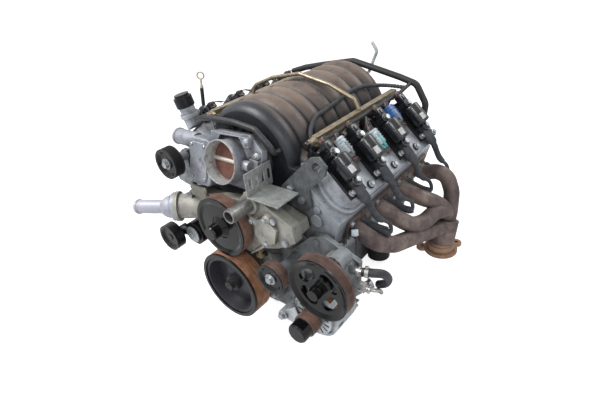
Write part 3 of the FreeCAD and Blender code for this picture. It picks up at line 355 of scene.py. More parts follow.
MATS = {
    "block": cast("block_metal", (126, 129, 134), (158, 161, 165)),
    "head": cast("head_metal", (134, 139, 147), (168, 173, 180), grit=0.0003),
    "timing": cast("timing_metal", (130, 132, 132), (162, 163, 161), grit=0.00035, dirt_and_shade=(64, 57, 48)),
    "pump": cast("pump_metal", (150, 148, 140), (182, 180, 171), grit=0.00035, dirt_and_shade=(76, 68, 56)),
    "outlet": cast("outlet_metal", (156, 158, 170), (186, 186, 196), grit=0.0002, grime_and_shade=0.7),
    "throttle": cast("throttle_metal", (140, 144, 153), (178, 181, 188), grit=0.0002, rough=0.42,
                     extra=machined_bore),
    "cover": cast("cover_metal", (162, 167, 175), (202, 206, 212), metal=0.4, rough=0.42, grit=0.0002),
    "bracket": cast("bracket_metal", (120, 125, 129), (154, 158, 160), grit=0.0003),
    "alternator": cast("alternator_metal", (166, 172, 178), (204, 209, 214), metal=0.5, rough=0.38,
                       grit=0.0002),
    "pan": cast("pan_metal", (106, 108, 110), (130, 132, 134), grit=0.0003),
    "steel": bare_metal("worn_steel", (150, 150, 148), 0.36),
    "plate": bare_metal("plate_steel", (104, 108, 110), 0.46, 0.5),
    "pale_plate": bare_metal("pale_plate_steel", (176, 180, 178), 0.4, 0.6, dirt_and_shade=(104, 84, 62)),
    "bright": bare_metal("bright_steel", (196, 194, 190), 0.24, 1.0),
    "zinc": bare_metal("zinc_plate", (186, 192, 196), 0.3, 0.8, grime_and_shade=0.7),
    "tan": bare_metal("tan_steel", (166, 152, 128), 0.34, 0.7, dirt_and_shade=(84, 58, 36)),
    "shaft_steel": bare_metal("dark_steel", (62, 62, 64), 0.45, 0.7),
    "exhaust": rusty_iron(),
    "intake": intake_plastic(),
    "rubber": rubber("black_rubber"),
    "hose": rubber("hose_rubber", (28, 28, 31), (50, 50, 53), 0.42),
    "sleeve": rubber("woven_sleeve", (46, 49, 54), (80, 82, 86), 0.75),
    "coil": gloss_black("coil_case", (18, 20, 25), 0.25, 0.04, 0.000004, 0.55).done(),
    "bracket_black": gloss_black("bracket_paint", (17, 18, 21), 0.3, 0.3).done(),
    "black": gloss_black("black_case", (16, 16, 19), 0.28, 0.35).done(),
    "cap": gloss_black("cap_plastic", (20, 22, 27), 0.36, 0.3).done(),
    "crank_hub": gloss_black("crank_hub_paint", (48, 48, 54), 0.4, 0.4).done(),
    "brown": bare_metal("butterfly_bronze", (128, 86, 74), 0.45, 0.35, dirt_and_shade=(66, 44, 38),
                        extra=steel_spindle),
    "pale_ring": bare_metal("pale_ring", (216, 203, 188), 0.42, 0.1, dirt_and_shade=(120, 100, 82)),
    "hub_end": bare_metal("rusted_hub", (74, 50, 46), 0.5, 0.5, dirt_and_shade=(40, 26, 22)),
    "white": plastic("pale_nylon", (196, 202, 200), 0.4),
}

PAINTED = {
    "block": ("engine_block", "main_bearing_caps"),
    "head": ("cylinder_head_left", "cylinder_head_right"),
    "timing": ("timing_cover", "rear_seal_cover"),
    "pump": ("water_pump_housing",),
    "outlet": ("water_outlet",),
    "throttle": ("throttle_body", "throttle_motor_cover"),
    "cover": ("valve_cover_left", "valve_cover_right", "oil_filler_neck"),
    "bracket": ("accessory_bracket_left", "accessory_bracket_right", "tensioner_base",
                "steering_pump"),
    "alternator": ("alternator_housing",),
    "pan": ("oil_pan",),
    "steel": ("crankshaft", "camshaft", "timing_chain", "steam_pipe", "head_gaskets",
              "spark_plugs", "pistons", "hose_stub"),
    "plate": ("lifting_eye",),
    "pale_plate": ("slotted_bracket",),
    "zinc": ("bolts", "coil_bolts"),
    "tan": ("fuel_rails",),
    "shaft_steel": ("dipstick_tube", "balancer_bolt"),
    "hub_end": ("pump_shaft",),
    "pale_ring": ("dipstick",),
    "exhaust": ("exhaust_manifold_left", "exhaust_manifold_right"),
    "intake": ("intake_manifold",),
    "rubber": ("balancer_rubber", "plug_leads", "wiring_loom"),
    "hose": ("vent_hose",),
    "coil": ("ignition_coils",),
    "bracket_black": ("coil_brackets",),
    "black": ("oil_filter", "tensioner_pulley", "tensioner_arm", "fuel_injectors"),
    "cap": ("oil_filler_cap",),
    "crank_hub": ("balancer_hub",),
    "brown": ("throttle_plate",),
    "white": ("connectors", "vacuum_pipe"),
}


def paint(node, mat):
    """Gives the CAD node its only material."""
    mesh = nodes[node].data
    mesh.materials.clear()
    mesh.materials.append(mat)


for key, names in PAINTED.items():
    for name in names:
        paint(name, MATS[key])
for node, mat_name, x, z, r, rust, start, ribs in (
        ("balancer_ring", "balancer_paint", 0, 0, 95.25, (162, 118, 90), -613, False),
        ("water_pump_pulley", "pump_pulley_paint", 0, 176, 78, (124, 96, 84), -605, False),
        ("steering_pulley", "steering_pulley_paint", 289, 123, 75, (124, 100, 92), -612, True),
        ("idler_pulley_right", "lower_idler_paint", 156, 94, 38, (108, 88, 80), -617, False),
        ("idler_pulley_left", "upper_idler_paint", -130, 322, 38, (34, 33, 36), None, True),
        ("alternator_rotor", "rotor_paint", 240, -11, 29, (128, 98, 86), -614, True)):
    paint(node, belt_pulley(mat_name, x, z, r, rust, start, ribs))

# Camera, solved from the photograph
EYE = Vector((724.8, -1142.8, 750.2)) * MM
AZIMUTH, ELEVATION, ROLL = math.radians(40.9), math.radians(30.6), math.radians(-5.8)
LENS, SENSOR = 26.3, 36
back = Vector((math.sin(AZIMUTH) * math.cos(ELEVATION), -math.cos(AZIMUTH) * math.cos(ELEVATION),
               math.sin(ELEVATION)))
level = Vector((math.cos(AZIMUTH), math.sin(AZIMUTH), 0))
above = back.cross(level)
right = math.cos(ROLL) * level + math.sin(ROLL) * above
up = math.cos(ROLL) * above - math.sin(ROLL) * level
cam_data = bpy.data.cameras.new("camera")
cam_data.lens = LENS
cam_data.sensor_width = SENSOR
camera = bpy.data.objects.new("camera", cam_data)
bpy.context.scene.collection.objects.link(camera)
camera.matrix_world = Matrix.Translation(EYE) @ Matrix((right, up, back)).transposed().to_4x4()
bpy.context.scene.camera = camera


LIGHT_AIM = Vector((0, -0.3, 0.1))


def area_light(name, place, size, power, color=(1, 1, 1)):
    """Square lamp of the given size in metres and power in watts, turned to the engine."""
    data = bpy.data.lights.new(name, "AREA")
    data.size = size
    data.energy = power
    data.color = color
    light = bpy.data.objects.new(name, data)
    bpy.context.scene.collection.objects.link(light)
    light.location = place
    light.rotation_euler = (LIGHT_AIM - Vector(place)).to_track_quat("-Z", "Y").to_euler()


area_light("key", (-0.9, -1.5, 2.1), 0.9, 52)
area_light("softbox", (1.0, -1.7, 1.5), 0.35, 7)
area_light("fill", (2.0, -1.0, 0.7), 1.4, 8, (0.94, 0.97, 1))
area_light("rim", (0.9, 1.3, 1.8), 1.0, 16)


def white_for_camera(tree, shader, lit):
    """shader where the camera, a gloss or a clear surface sees it, otherwise lit."""
    path = tree.nodes.new("ShaderNodeLightPath")
    most = tree.nodes.new("ShaderNodeMath")
    most.operation = "MAXIMUM"
    tree.links.new(path.outputs["Is Camera Ray"], most.inputs[0])
    tree.links.new(path.outputs["Is Glossy Ray"], most.inputs[1])
    either = tree.nodes.new("ShaderNodeMath")
    either.operation = "MAXIMUM"
    tree.links.new(most.outputs[0], either.inputs[0])
    tree.links.new(path.outputs["Is Transmission Ray"], either.inputs[1])
    mix = tree.nodes.new("ShaderNodeMixShader")
    tree.links.new(either.outputs[0], mix.inputs[0])
    tree.links.new(lit, mix.inputs[1])
    tree.links.new(shader, mix.inputs[2])
    return mix.outputs[0]


world = bpy.data.worlds.new("world")
bpy.context.scene.world = world
world.use_nodes = True
tree = world.node_tree
tree.nodes.clear()
seen, lit = tree.nodes.new("ShaderNodeBackground"), tree.nodes.new("ShaderNodeBackground")
seen.inputs["Color"].default_value = (1, 1, 1, 1)
lit.inputs["Color"].default_value = (0.92, 0.95, 1, 1)
lit.inputs["Strength"].default_value = 0.32
out = tree.nodes.new("ShaderNodeOutputWorld")
tree.links.new(white_for_camera(tree, seen.outputs[0], lit.outputs[0]), out.inputs[0])
bpy.context.scene.view_settings.view_transform = "Standard"


def mesh_object(name, bm, mats, body="engine", smooth=40):
    """Mesh piece from a bmesh, with its edges sharp above the given angle."""
    mesh = bpy.data.meshes.new(name)
    bmesh.ops.recalc_face_normals(bm, faces=bm.faces)
    bm.to_mesh(mesh)
    bm.free()
    for m in mats:
        mesh.materials.append(m)
    mesh.shade_smooth()
    mesh.set_sharp_from_angle(angle=math.radians(smooth))
    obj = bpy.data.objects.new(name, mesh)
    bpy.context.scene.collection.objects.link(obj)
    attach(obj, body)
    return obj


def lathe(bm, profile, place, sides=40, material=0):
    """Turns (radius, height) points in mm about the local Z axis of place and adds them to bm."""
    rings = []
    for r, h in profile:
        if r == 0:
            rings.append([bm.verts.new(place @ Vector((0, 0, h)))])
            continue
        ring = []
        for i in range(sides):
            a = 2 * math.pi * i / sides
            ring.append(bm.verts.new(place @ Vector((r * math.cos(a), r * math.sin(a), h))))
        rings.append(ring)
    for low, high in zip(rings[:-1], rings[1:]):
        for i in range(sides):
            j = (i + 1) % sides
            if len(low) == 1 and len(high) == 1:
                continue
            if len(low) == 1:
                face = bm.faces.new((low[0], high[i], high[j]))
            elif len(high) == 1:
                face = bm.faces.new((low[i], low[j], high[0]))
            else:
                face = bm.faces.new((low[i], low[j], high[j], high[i]))
            face.material_index = material


def block(bm, low, high, place, bevel=1.0, material=0):
    """Box between two corners in mm with rounded edges, moved by place."""
    piece = bmesh.new()
    size = Vector(high) - Vector(low)
    middle = (Vector(high) + Vector(low)) / 2
    matrix = Matrix.Translation(middle) @ Matrix.Diagonal((*size, 1))
    bmesh.ops.create_cube(piece, size=1.0, matrix=matrix)
    if bevel:
        bmesh.ops.bevel(piece, geom=piece.edges[:], offset=bevel, segments=2, affect="EDGES", profile=0.5)
    for face in piece.faces:
        face.material_index = material
    piece.transform(place)
    data = bpy.data.meshes.new("block")
    piece.to_mesh(data)
    piece.free()
    bm.from_mesh(data)
    bpy.data.meshes.remove(data)


def smooth_path(points, steps=6):
    """Points of a smooth curve through the given ones."""
    pts = [Vector(p) for p in points]
    pts = [2 * pts[0] - pts[1]] + pts + [2 * pts[-1] - pts[-2]]
    result = []
    for a, b, c, d in zip(pts[:-3], pts[1:-2], pts[2:-1], pts[3:]):
        for i in range(steps):
            t = i / steps
            result.append(0.5 * (2 * b + (c - a) * t + (2 * a - 5 * b + 4 * c - d) * t ** 2
                                 + (3 * b - a - 3 * c + d) * t ** 3))
    return result + [pts[-2]]


def sweep(bm, path, radius, place=None, sides=14, material=0):
    """Round bar along a path in mm. radius is a number or a function of the share of the path."""
    place = place or ENGINE
    lengths = [0.0]
    for a, b in zip(path[:-1], path[1:]):
        lengths.append(lengths[-1] + (b - a).length)
    side = (path[1] - path[0]).orthogonal().normalized()
    rings = []
    for i, p in enumerate(path):
        ahead = (path[min(i + 1, len(path) - 1)] - path[max(i - 1, 0)]).normalized()
        side = (side - ahead * side.dot(ahead)).normalized()
        other = ahead.cross(side)
        r = radius(lengths[i] / lengths[-1]) if callable(radius) else radius
        rings.append([bm.verts.new(place @ (p + (side * math.cos(a) + other * math.sin(a)) * r))
                      for a in (2 * math.pi * k / sides for k in range(sides))])
    for low, high in zip(rings[:-1], rings[1:]):
        for i in range(sides):
            j = (i + 1) % sides
            bm.faces.new((low[i], low[j], high[j], high[i])).material_index = material
    for ring in (rings[0], rings[-1]):
        bm.faces.new(ring).material_index = material


def bank(side):
    """Matrix from bank coordinates (t across, y, d along the bore) in mm to metres."""
    return Matrix(((side * HALF * MM, 0, side * HALF * MM, 0),
                   (0, MM, 0, BANK_STAGGER * MM if side < 0 else 0),
                   (-HALF * MM, 0, HALF * MM, 0), (0, 0, 0, 1)))


def along(place, point, direction):
    """place, moved so that its Z axis runs from point along direction."""
    turn = Vector(direction).to_track_quat("Z", "Y").to_matrix().to_4x4()
    return place @ Matrix.Translation(point) @ turn


def side_name(side):
    return "right" if side > 0 else "left"


def face_point(y, off):
    """Point in front of the middle of the head's exhaust face, in bank coordinates."""
    low, top = HEAD_FACE
    run = math.hypot(top[0] - low[0], top[1] - low[1])
    ut, ud = (top[0] - low[0]) / run, (top[1] - low[1]) / run
    return (low[0] + top[0]) / 2 + ud * off, y, (low[1] + top[1]) / 2 - ut * off


LABEL = plastic("label_paper", (206, 208, 206), 0.5)
TEAL = plastic("teal_lock", (96, 178, 176))
PALE = plastic("pale_connector", (206, 220, 226))
BLUE = plastic("blue_connector", (70, 118, 186))
GREY = plastic("grey_connector", (128, 130, 134))
WIRES = [plastic("wire_" + n, c) for n, c in (
    ("red", (124, 62, 56)), ("purple", (84, 74, 104)), ("tan", (158, 138, 112)), ("green", (66, 90, 76)))]
CORE = bare_metal("coil_core_steel", (128, 118, 104), 0.45, 0.6, dirt_and_shade=(92, 64, 46))


def coil(side, y, number):
    """Round coil with raised bands, a bolt ear at each end, its iron core, its socket and a label."""
    place = bank(side)
    bm = bmesh.new()
    r = COIL_R + 4.6
    profile = [(0, 0), (r - 7, 0), (r - 2.5, 1), (r - 0.5, 3), (r, 6), (r, 26), (r - 0.8, 26.5),
               (r - 0.8, 28), (r, 28.5), (r, 50), (r - 0.5, 53), (r - 2.5, 55), (r - 7, 56), (0, 56)]
    lathe(bm, profile, along(place, (-77.5, y, COIL_D + COIL_LIFT), (1, 0, 0)), 48)
    lathe(bm, [(0, 0), (12, 0), (12, 30), (0, 30)], along(place, (-30, y, COIL_D - NECK_DROP), (1, 0, 0)), 32)
    for t in (-86, -13):
        lathe(bm, [(0, -16.5), (13.5, -16.5), (13.5, 4.8), (12.5, 5.8), (9, 5.8), (8.5, 6.8), (0, 6.8)],
              along(place, (t, y, COIL_D), (0, 0, 1)), 32)
    for i in range(5):
        block(bm, (-74, y + 20 + 1.5 * i, COIL_D - 18), (-26, y + 21 + 1.5 * i, COIL_D - 5), place, 0, 1)
    block(bm, (-117.5, y - 11.5, COIL_D - 14), (-95, y + 11.5, COIL_D + 5), place, 2.5)
    block(bm, (-112, y - 5, COIL_D + 4), (-99, y + 5, COIL_D + 7.6), place, 1.0)
    label_r = r + 0.25
    for i in range(5):
        a, b = math.radians(96 + 7 * i), math.radians(103 + 7 * i)
        quad = [(t, y + label_r * math.cos(c), COIL_D + COIL_LIFT + label_r * math.sin(c))
                for t, c in ((-46, a), (-29, a), (-29, b), (-46, b))]
        bm.faces.new([bm.verts.new(place @ Vector(q)) for q in quad]).material_index = 2
    obj = mesh_object("coil_%s_%d" % (side_name(side), number), bm, [MATS["coil"], CORE, LABEL])
    return obj


def lead_radius(share):
    """Boot on the coil, woven sleeve, bare lead and boot on the plug, by the share of the way."""
    if share < 0.13:
        return 13.5 - 14 * share
    if share < 0.16:
        return 11 - 120 * (share - 0.13)
    if share < 0.46:
        return 7.8 + 0.35 * math.sin(share * 260)
    if share < 0.5:
        return 7.8 - 75 * (share - 0.46)
    if share < 0.74:
        return 4.8
    return 9.4 if 0.76 < share < 0.79 or share > 0.95 else 8.6


def lead(side, coil_y, bore_y, number):
    """Plug lead from its coil to the head's exhaust face."""
    y, plug_y = coil_y, bore_y + PLUG_DY
    out, end = face_point(plug_y, 78), face_point(plug_y, 50)
    points = [(-1, y, COIL_D - NECK_DROP), (16, y, COIL_D - NECK_DROP), (38, y + 4, COIL_D - 14),
              (78, y + 26, 386), (112, plug_y + 10, 356), (out[0] - 2, plug_y + 7, out[2] + 4),
              (end[0] + 3, plug_y + 1, end[2] + 2), face_point(plug_y, 12)]
    bm = bmesh.new()
    sweep(bm, smooth_path(points, 9), lead_radius, bank(side), 16)
    return mesh_object("lead_%s_%d" % (side_name(side), number), bm, [MATS["sleeve"]], smooth=50)


coils, leads = [], []
for side in (1, -1):
    for number, (coil_y, bore_y) in enumerate(zip(COIL_Y[side], BORE_Y), 1):
        coils.append(coil(side, coil_y, number))
        leads.append(lead(side, coil_y, bore_y, number))
for piece in coils:
    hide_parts("ignition_coils")
for piece in leads:
    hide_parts("plug_leads")


def wire(name, points, r, mat, place=None):
    """Thin round wire through the points."""
    bm = bmesh.new()
    sweep(bm, smooth_path(points), r, place, 8)
    mesh_object(name, bm, [mat], smooth=60)


random.seed(4)
for side in (1, -1):
    for number, y in enumerate(COIL_Y[side], 1):
        for k in range(4):
            w = -9 + 6 * k
            points = [(-116, y + w, COIL_D - 2 + random.uniform(-3, 3)), (-124, y + w * 0.8, COIL_D - 3),
                      (-129, y + w * 0.3 + 8, COIL_D - 6), (-124.5, y + 24 + 3 * k, COIL_D - 12)]
            wire("coil_wire_%s_%d_%d" % (side_name(side), number, k), points, WIRE_R, WIRES[k], bank(side))


def connector(name, y, t, w, mats):
    """Multi-pin plug of half width w lying on the right valve cover at (t, y), with its wires."""
    place = bank(1)
    bm = bmesh.new()
    block(bm, (t - 26, y - w, 403), (t + 14, y + w, 424), place, 2.0, 0)
    block(bm, (t + 12, y - w + 1.5, 404.5), (t + 26, y + w - 1.5, 421), place, 1.5, 1)
    for i in range(5):
        block(bm, (t - 22 + 7 * i, y - w - 0.8, 405), (t - 20 + 7 * i, y + w + 0.8, 425), place, 0.4, 0)
    block(bm, (t - 10, y - 4, 422), (t + 22, y + 4, 425.8), place, 1.0, 1)
    obj = mesh_object(name, bm, mats)
    for k in range(5):
        wy = y - w + 2 + (2 * w - 4) * k / 4
        points = [(t + 25, wy, 414), (t + 34, wy + 2, 418 + (k % 2) * 3), (t + 40, wy + 10, 412),
                  (t + 38, wy + 22, 406)]
        wire(name + "_wire_%d" % k, points, WIRE_R, WIRES[k % 4], place)
        points = [(t - 25, wy, 414), (t - 36, wy + 3, 416), (t - 44, wy + 12, 410 + (k % 3) * 2),
                  (-124, y + 26, 412)]
        wire(name + "_tail_%d" % k, points, WIRE_R, WIRES[(k + 1) % 4], place)
    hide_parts("connectors")


connector("connector_front", -408, -84, 8, [PALE, GREY])
connector("connector_middle", -300, -56, 11, [PALE, TEAL])
connector("connector_rear", -184, -84, 11, [BLUE, GREY])


# Small fittings
THROTTLE = ENGINE @ Matrix.Translation((0, THROTTLE_Y, THROTTLE_Z)) @ Matrix.Rotation(-THROTTLE_TILT, 4, "X")


def detail(name, mats, slot, build, body="engine"):
    """Piece whose form build adds to an empty bmesh."""
    bm = bmesh.new()
    build(bm)
    mesh_object(name, bm, mats, body)


def hex_bolt(bm, point, direction, place=ENGINE, af=10, high=6, washer=7.5, material=0):
    """Flanged bolt head, af across its flats."""
    axis = along(place, point, direction)
    corner = af * 0.577
    lathe(bm, [(0, 0), (washer, 0), (washer, 1.2), (af * 0.55, 2.2), (0, 2.2)], axis, 24, material)
    lathe(bm, [(0, 1), (corner, 1), (corner, high - 1), (af * 0.48, high), (0, high)], axis, 6, material)


def pan_screw(bm, point, direction, place=ENGINE, r=4.2):
    """Round screw head with a socket."""
    axis = along(place, point, direction)
    lathe(bm, [(0, 0), (r, 0), (r, 1.4), (r * 0.7, 2.5), (r * 0.4, 2.5), (r * 0.35, 1.2), (0, 1.2)], axis, 16)


def throttle_screws(bm):
    for x in (-107, -63):
        for z in (22, -58):
            pan_screw(bm, (x, 10, z), (0, -1, 0), THROTTLE)
    for point in ((64, 44, -52), (80, 36, 24), (53, 30, 52), (-56, 44, 50)):
        hex_bolt(bm, point, (0, -1, 0), THROTTLE)


def butterfly_screws(bm):
    for x in (-16, 16):
        pan_screw(bm, (x, 28.7, 0), (0, -1, 0), THROTTLE, 3.4)


def cover_bolts(bm):
    """Bolts of the coil brackets and, on rubber seats, of the valve covers."""
    for side, places in ((1, (-405, -296, -180, -76)), (-1, (-348, -236, -124))):
        for y in COIL_Y[side]:
            hex_bolt(bm, (3, y - 15, COIL_D - COIL_R), (0, 0, 1), bank(side), high=9, washer=8)
        for y in places:
            lathe(bm, [(0, -1), (9.5, -1), (9.5, 3), (8, 4.5), (0, 4.5)],
                  along(bank(side), (14, y, COVER_D), (0, 0, 1)), 24, 1)
            hex_bolt(bm, (14, y, COVER_D + 4), (0, 0, 1), bank(side), high=7)


def alternator_bolts(bm):
    for turn in (75, 195, 315):
        a = math.radians(turn)
        hex_bolt(bm, (240 + 55.5 * math.cos(a), -568, -11 + 55.5 * math.sin(a)), (0, -1, 0), af=8, washer=5)


def outlet_bolts(bm):
    normal = Vector((-0.8, -0.6, 0))
    for off in (Vector((0, 0, 32)), Vector((0, 0, -32))):
        hex_bolt(bm, Vector((-176, -596, 176)) + normal * 8 + off, normal, af=9, washer=6)


def windings(bm):
    """Copper band round the alternator's middle."""
    lathe(bm, [(56, -6), (57.6, -5), (57.6, 10), (56, 11)], along(ENGINE, (240, -547, -11), (0, -1, 0)), 48)


def rail_fittings(bm):
    """Front caps, brackets and injector rings of the fuel rails."""
    for side, shift in SIDES:
        x, z = side * RAIL[0], RAIL[1]
        front = BORE_Y[0] - 8 + shift
        axis = along(ENGINE, (x, front, z), (0, -1, 0))
        lathe(bm, [(0, -2), (9.5, -2), (9.5, 9), (7, 10.5), (0, 10.5)], axis, 6)
        lathe(bm, [(0, 9), (6.5, 9), (6.5, 15), (8.5, 16), (8.5, 20), (6.5, 21), (6.5, 25), (5, 26), (0, 26)],
              axis, 24)
        lathe(bm, [(0, 25), (7.5, 25), (7.5, 33), (5.5, 35), (0, 35)], axis, 24, 1)
        for y in (-350, -150):
            block(bm, (x - 4, y + shift - 9, z - 14), (x + 4, y + shift + 9, z - 8), ENGINE, 1)
            low, high = sorted((x + side * 2, x + side * 25))
            block(bm, (low, y + shift - 8, z - 14), (high, y + shift + 8, z - 11), ENGINE, 1)
            hex_bolt(bm, (x + side * 17, y + shift, z - 11), (0, 0, 1), af=9, washer=6.5)
        for y in BORE_Y:
            lathe(bm, [(10.5, -6), (11.5, -5), (11.5, 4), (10.5, 5)],
                  along(ENGINE, (x, y + shift, z - 9), (0, 0, -1)), 24)


def injector_plugs(bm):
    for side, shift in SIDES:
        for y in BORE_Y:
            place = along(ENGINE, (side * 163, y + shift, 336), (side * 25, 0, 54))
            lathe(bm, [(7, -16), (10, -14), (10, 6), (8.2, 9), (7, 9)], place, 24)
            block(bm, (-7.5, -24, -4), (7.5, -7, 9), place, 1.5)
            block(bm, (-5.5, -27, -2), (5.5, -23, 7), place, 1.0, 1)
            block(bm, (-2.5, -22, 8), (2.5, -10, 11), place, 0.6, 1)


def pump_pads(bm):
    """Cast pad with four bosses, and bolt seats, on the water pump."""
    front = PUMP_FACE - 0.5
    block(bm, (-124, front - 5, 218), (-66, front + 2, 250), ENGINE, 2.5)
    for x, z in ((-116, 242), (-74, 242), (-116, 226), (-74, 226)):
        lathe(bm, [(0, -2), (6.5, -2), (5.5, 3.5), (2.6, 3.8), (2.2, 2), (0, 2)],
              along(ENGINE, (x, front - 4, z), (0, -1, 0)), 20)
    for x, z in ((128, 163), (89, 211), (132, 226)):
        lathe(bm, [(0, -3), (12, -3), (10.5, 9), (9.5, 10), (0, 10)],
              along(ENGINE, (x, front, z), (0, -1, 0)), 28)
        hex_bolt(bm, (x, front - 9.5, z), (0, -1, 0), high=7, material=1)


detail("throttle_screws", [MATS["zinc"]], "zinc", throttle_screws)
detail("butterfly_screws", [MATS["bright"]], "bare_steel", butterfly_screws, "throttle_valve")
detail("cover_bolts", [MATS["zinc"], MATS["rubber"]], "zinc", cover_bolts)
detail("pump_pads", [MATS["pump"], MATS["zinc"]], "cast_alu", pump_pads)
detail("alternator_bolts", [MATS["zinc"]], "zinc", alternator_bolts)
detail("outlet_bolts", [MATS["zinc"]], "zinc", outlet_bolts)
detail("alternator_windings", [bare_metal("winding_copper", (150, 92, 58), 0.4, 0.6)], "brass", windings)
detail("rail_fittings", [MATS["tan"], MATS["black"]], "tan_steel", rail_fittings)
detail("injector_plugs", [MATS["cap"], GREY], "black_plastic", injector_plugs)

for side, shift in SIDES:
    for number, y in enumerate(BORE_Y, 1):
        for k in range(2):
            w = y + shift - 3 + 6 * k
            points = [(side * 186, w, 329), (side * 193, w + 2, 334), (side * 200, w + 6, 350),
                      (side * 203, w + 10, 372)]
            wire("injector_wire_%s_%d_%d" % (side_name(side), number, k), points, 1.2, WIRES[(k + number) % 4])


def intake_harness():
    """Ribbed loom sleeve over the right of the intake, coarser at its ends."""
    path = smooth_path([(152, -418, 346), (132, -396, 370), (118, -355, 386), (116, -315, 389),
                        (113.5, -270, 392), (110.5, -222, 396), (108, -176, 398), (116, -120, 394),
                        (150, -72, 386), (198, -58, 382)], 26)

    def radius(share):
        depth = 0.35 if 0.06 < share < 0.94 else 0.7
        return 5.2 + depth * math.sin(share * 1.4 * len(path))
    bm = bmesh.new()
    sweep(bm, path, radius, None, 12)
    mesh_object("intake_harness", bm, [MATS["sleeve"]], smooth=60)


intake_harness()


def pump_fittings(bm):
    """Filler cap, hose connection and pressure line of the steering pump."""
    lathe(bm, [(0, 1), (20.5, 1), (20.5, 4), (18, 6), (17, 9), (12, 11.5), (0, 12)],
          along(ENGINE, (305, -573, 169), (0, -1, 0)), 32, 1)
    axis = along(ENGINE, (349, -535.5, 103.5), (42, 10, -8))
    lathe(bm, [(0, -6), (12.5, -6), (12.5, 7), (11, 8.5), (0, 8.5)], axis, 6)
    lathe(bm, [(0, 8), (8.5, 8), (8.5, 13), (10, 14), (10, 18), (6.5, 19), (0, 19)], axis, 24)
    axis = along(ENGINE, (345, -540, 146.5), (38, 0, 6))
    lathe(bm, [(0, -3), (10.6, -3), (10.6, 2), (9.6, 3), (9.6, 9), (0, 9)], axis, 24)
    line = [(366, -531, 100), (373, -524, 96), (376, -508, 84), (370, -490, 62), (352, -474, 48)]
    sweep(bm, smooth_path(line, 8), 4.6)
    sweep(bm, smooth_path([(276, -500, 6), (322, -452, 38)], 8), 10.5, None, 24, 2)
    lathe(bm, [(0, 0), (13, 0), (13, 5), (11, 6.5), (0, 6.5)],
          along(ENGINE, (320, -454, 36.5), (46, 48, 32)), 6)


detail("steering_pump_fittings", [MATS["bright"], MATS["coil"], MATS["bracket"]], "bare_steel", pump_fittings)


def collector_collars(bm):
    """Weld collar and bolt ears of both exhaust outlets."""
    for side, shift in SIDES:
        x, y, z = side * OUTLET[0], OUTLET[1] + shift, OUTLET[2]
        lathe(bm, [(27.6, 9), (36.5, 9), (37, 12), (36, 20), (34.5, 25), (27.6, 26), (27.6, 9)],
              along(ENGINE, (x, y, z), (0, 0, 1)), 48)
        for out, back in ((-45, -22), (27, 42)):
            lathe(bm, [(5, 0.5), (14, 0.5), (15, 1.5), (15, 8.5), (14, 9.5), (5, 9.5), (5, 0.5)],
                  along(ENGINE, (x + side * out, y + back, z), (0, 0, 1)), 28)


detail("collector_collars", [MATS["exhaust"]], "rusty_iron", collector_collars)


def return_hose(bm):
    """Steering pump's return hose with its clip."""
    path = smooth_path([(352, -539, 148), (372, -532, 149), (386, -512, 138), (386, -490, 110),
                        (372, -474, 78), (350, -466, 58)], 8)
    sweep(bm, path, 9.5, None, 18)
    clip = along(ENGINE, (362, -537, 149), (1, 0.3, 0))
    lathe(bm, [(9.5, -4), (11, -4), (11, 4), (9.5, 4)], clip, 28, 1)
    block(bm, (-3, 10, -4), (3, 16, 4), clip, 0.6, 1)


detail("return_hose", [MATS["hose"], MATS["bright"]], "rubber", return_hose)


def head_sensor(bm):
    """Brass sensor in the front of the right head, and its plug."""
    axis = along(ENGINE, (226, -502, 132), (0, -1, 0))
    lathe(bm, [(0, 0), (8, 0), (8, 7), (6.5, 8), (0, 8)], axis, 6, 1)
    lathe(bm, [(0, 8), (5.5, 8), (5.5, 13), (4, 14), (0, 14)], axis, 20, 1)
    tilt = along(ENGINE, (286, -461, 177), (0.5, -0.7, 0.5))
    block(bm, (-8, -7, -6), (8, 7, 10), tilt, 1.5, 0)
    block(bm, (-5, -9, 0), (5, -6.5, 8), tilt, 0.6, 0)
    block(bm, (-6, -5, -12), (6, 5, -6), tilt, 1, 2)


sensor_brass = bare_metal("sensor_brass", (186, 156, 92), 0.3, 0.9)
detail("head_sensor", [PALE, sensor_brass, MATS["cap"]], "brass", head_sensor)
wire("head_sensor_lead", [(283, -457, 173), (272, -470, 164), (254, -492, 150), (236, -512, 138),
                          (227, -514, 133)], 2.6, MATS["sleeve"])
wire("head_sensor_tail", [(284, -456, 172), (292, -462, 150), (300, -480, 128), (302, -500, 122),
                          (301, -516, 126)], 3.4, MATS["sleeve"])


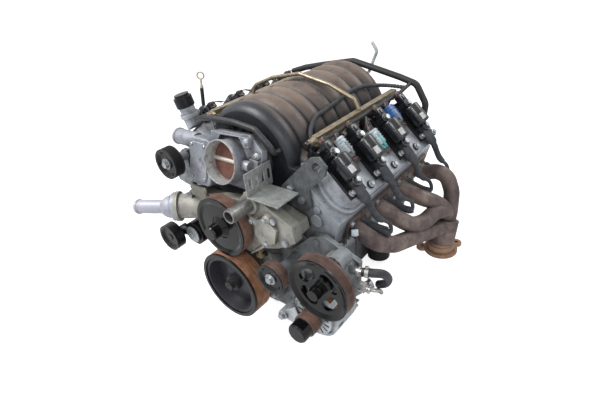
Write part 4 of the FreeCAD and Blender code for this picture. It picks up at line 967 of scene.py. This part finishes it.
def front_sensor(bm):
    """Plug with two sockets on the timing cover."""
    tilt = along(ENGINE, (72, -546, 98), (0, -1, 0))
    block(bm, (-13, -12, 0), (13, 12, 6), tilt, 1.5, 1)
    block(bm, (-9, -15, 5), (-3, 13, 18), tilt, 1.0, 0)
    block(bm, (2, -12, 5), (8, 15, 20), tilt, 1.0, 0)
    block(bm, (-10, -3, 5), (10, 4, 13), tilt, 1.0, 1)


detail("front_sensor", [plastic("sensor_tan", (172, 148, 104)), MATS["cap"]], "pale_plastic", front_sensor)
wire("front_sensor_lead", [(70, -564, 98), (64, -568, 112), (78, -566, 124), (98, -562, 122),
                           (112, -556, 112), (122, -535, 96)], 3.0, MATS["sleeve"])


# Floor, pale, with the object's shadow
FLOOR_SIZE, FLOOR_GAP, FLOOR_GLOW = 40, 0.001, 0.8
floor_place = Matrix.Translation((0, 0, cad_box[0][2] - FLOOR_GAP))
bm = bmesh.new()
bmesh.ops.create_grid(bm, x_segments=1, y_segments=1, size=FLOOR_SIZE, matrix=floor_place)
mesh = bpy.data.meshes.new("floor")
bm.to_mesh(mesh)
bm.free()
floor = bpy.data.objects.new("floor", mesh)
bpy.context.scene.collection.objects.link(floor)
floor_mat = bpy.data.materials.new("floor_paper")
floor_mat.use_nodes = True
tree = floor_mat.node_tree
paper = tree.nodes["Principled BSDF"]
paper.inputs["Base Color"].default_value = (0.86, 0.86, 0.86, 1)
paper.inputs["Roughness"].default_value = 0.9
paper.inputs["Specular IOR Level"].default_value = 0.0
glow, total = tree.nodes.new("ShaderNodeEmission"), tree.nodes.new("ShaderNodeAddShader")
path = tree.nodes.new("ShaderNodeLightPath")
share = tree.nodes.new("ShaderNodeMath")
share.operation = "MULTIPLY"
share.inputs[1].default_value = FLOOR_GLOW
tree.links.new(path.outputs["Is Camera Ray"], share.inputs[0])
tree.links.new(share.outputs[0], glow.inputs["Strength"])
tree.links.new(paper.outputs[0], total.inputs[0])
tree.links.new(glow.outputs[0], total.inputs[1])
tree.links.new(total.outputs[0], tree.nodes["Material Output"].inputs["Surface"])
floor.data.materials.append(floor_mat)
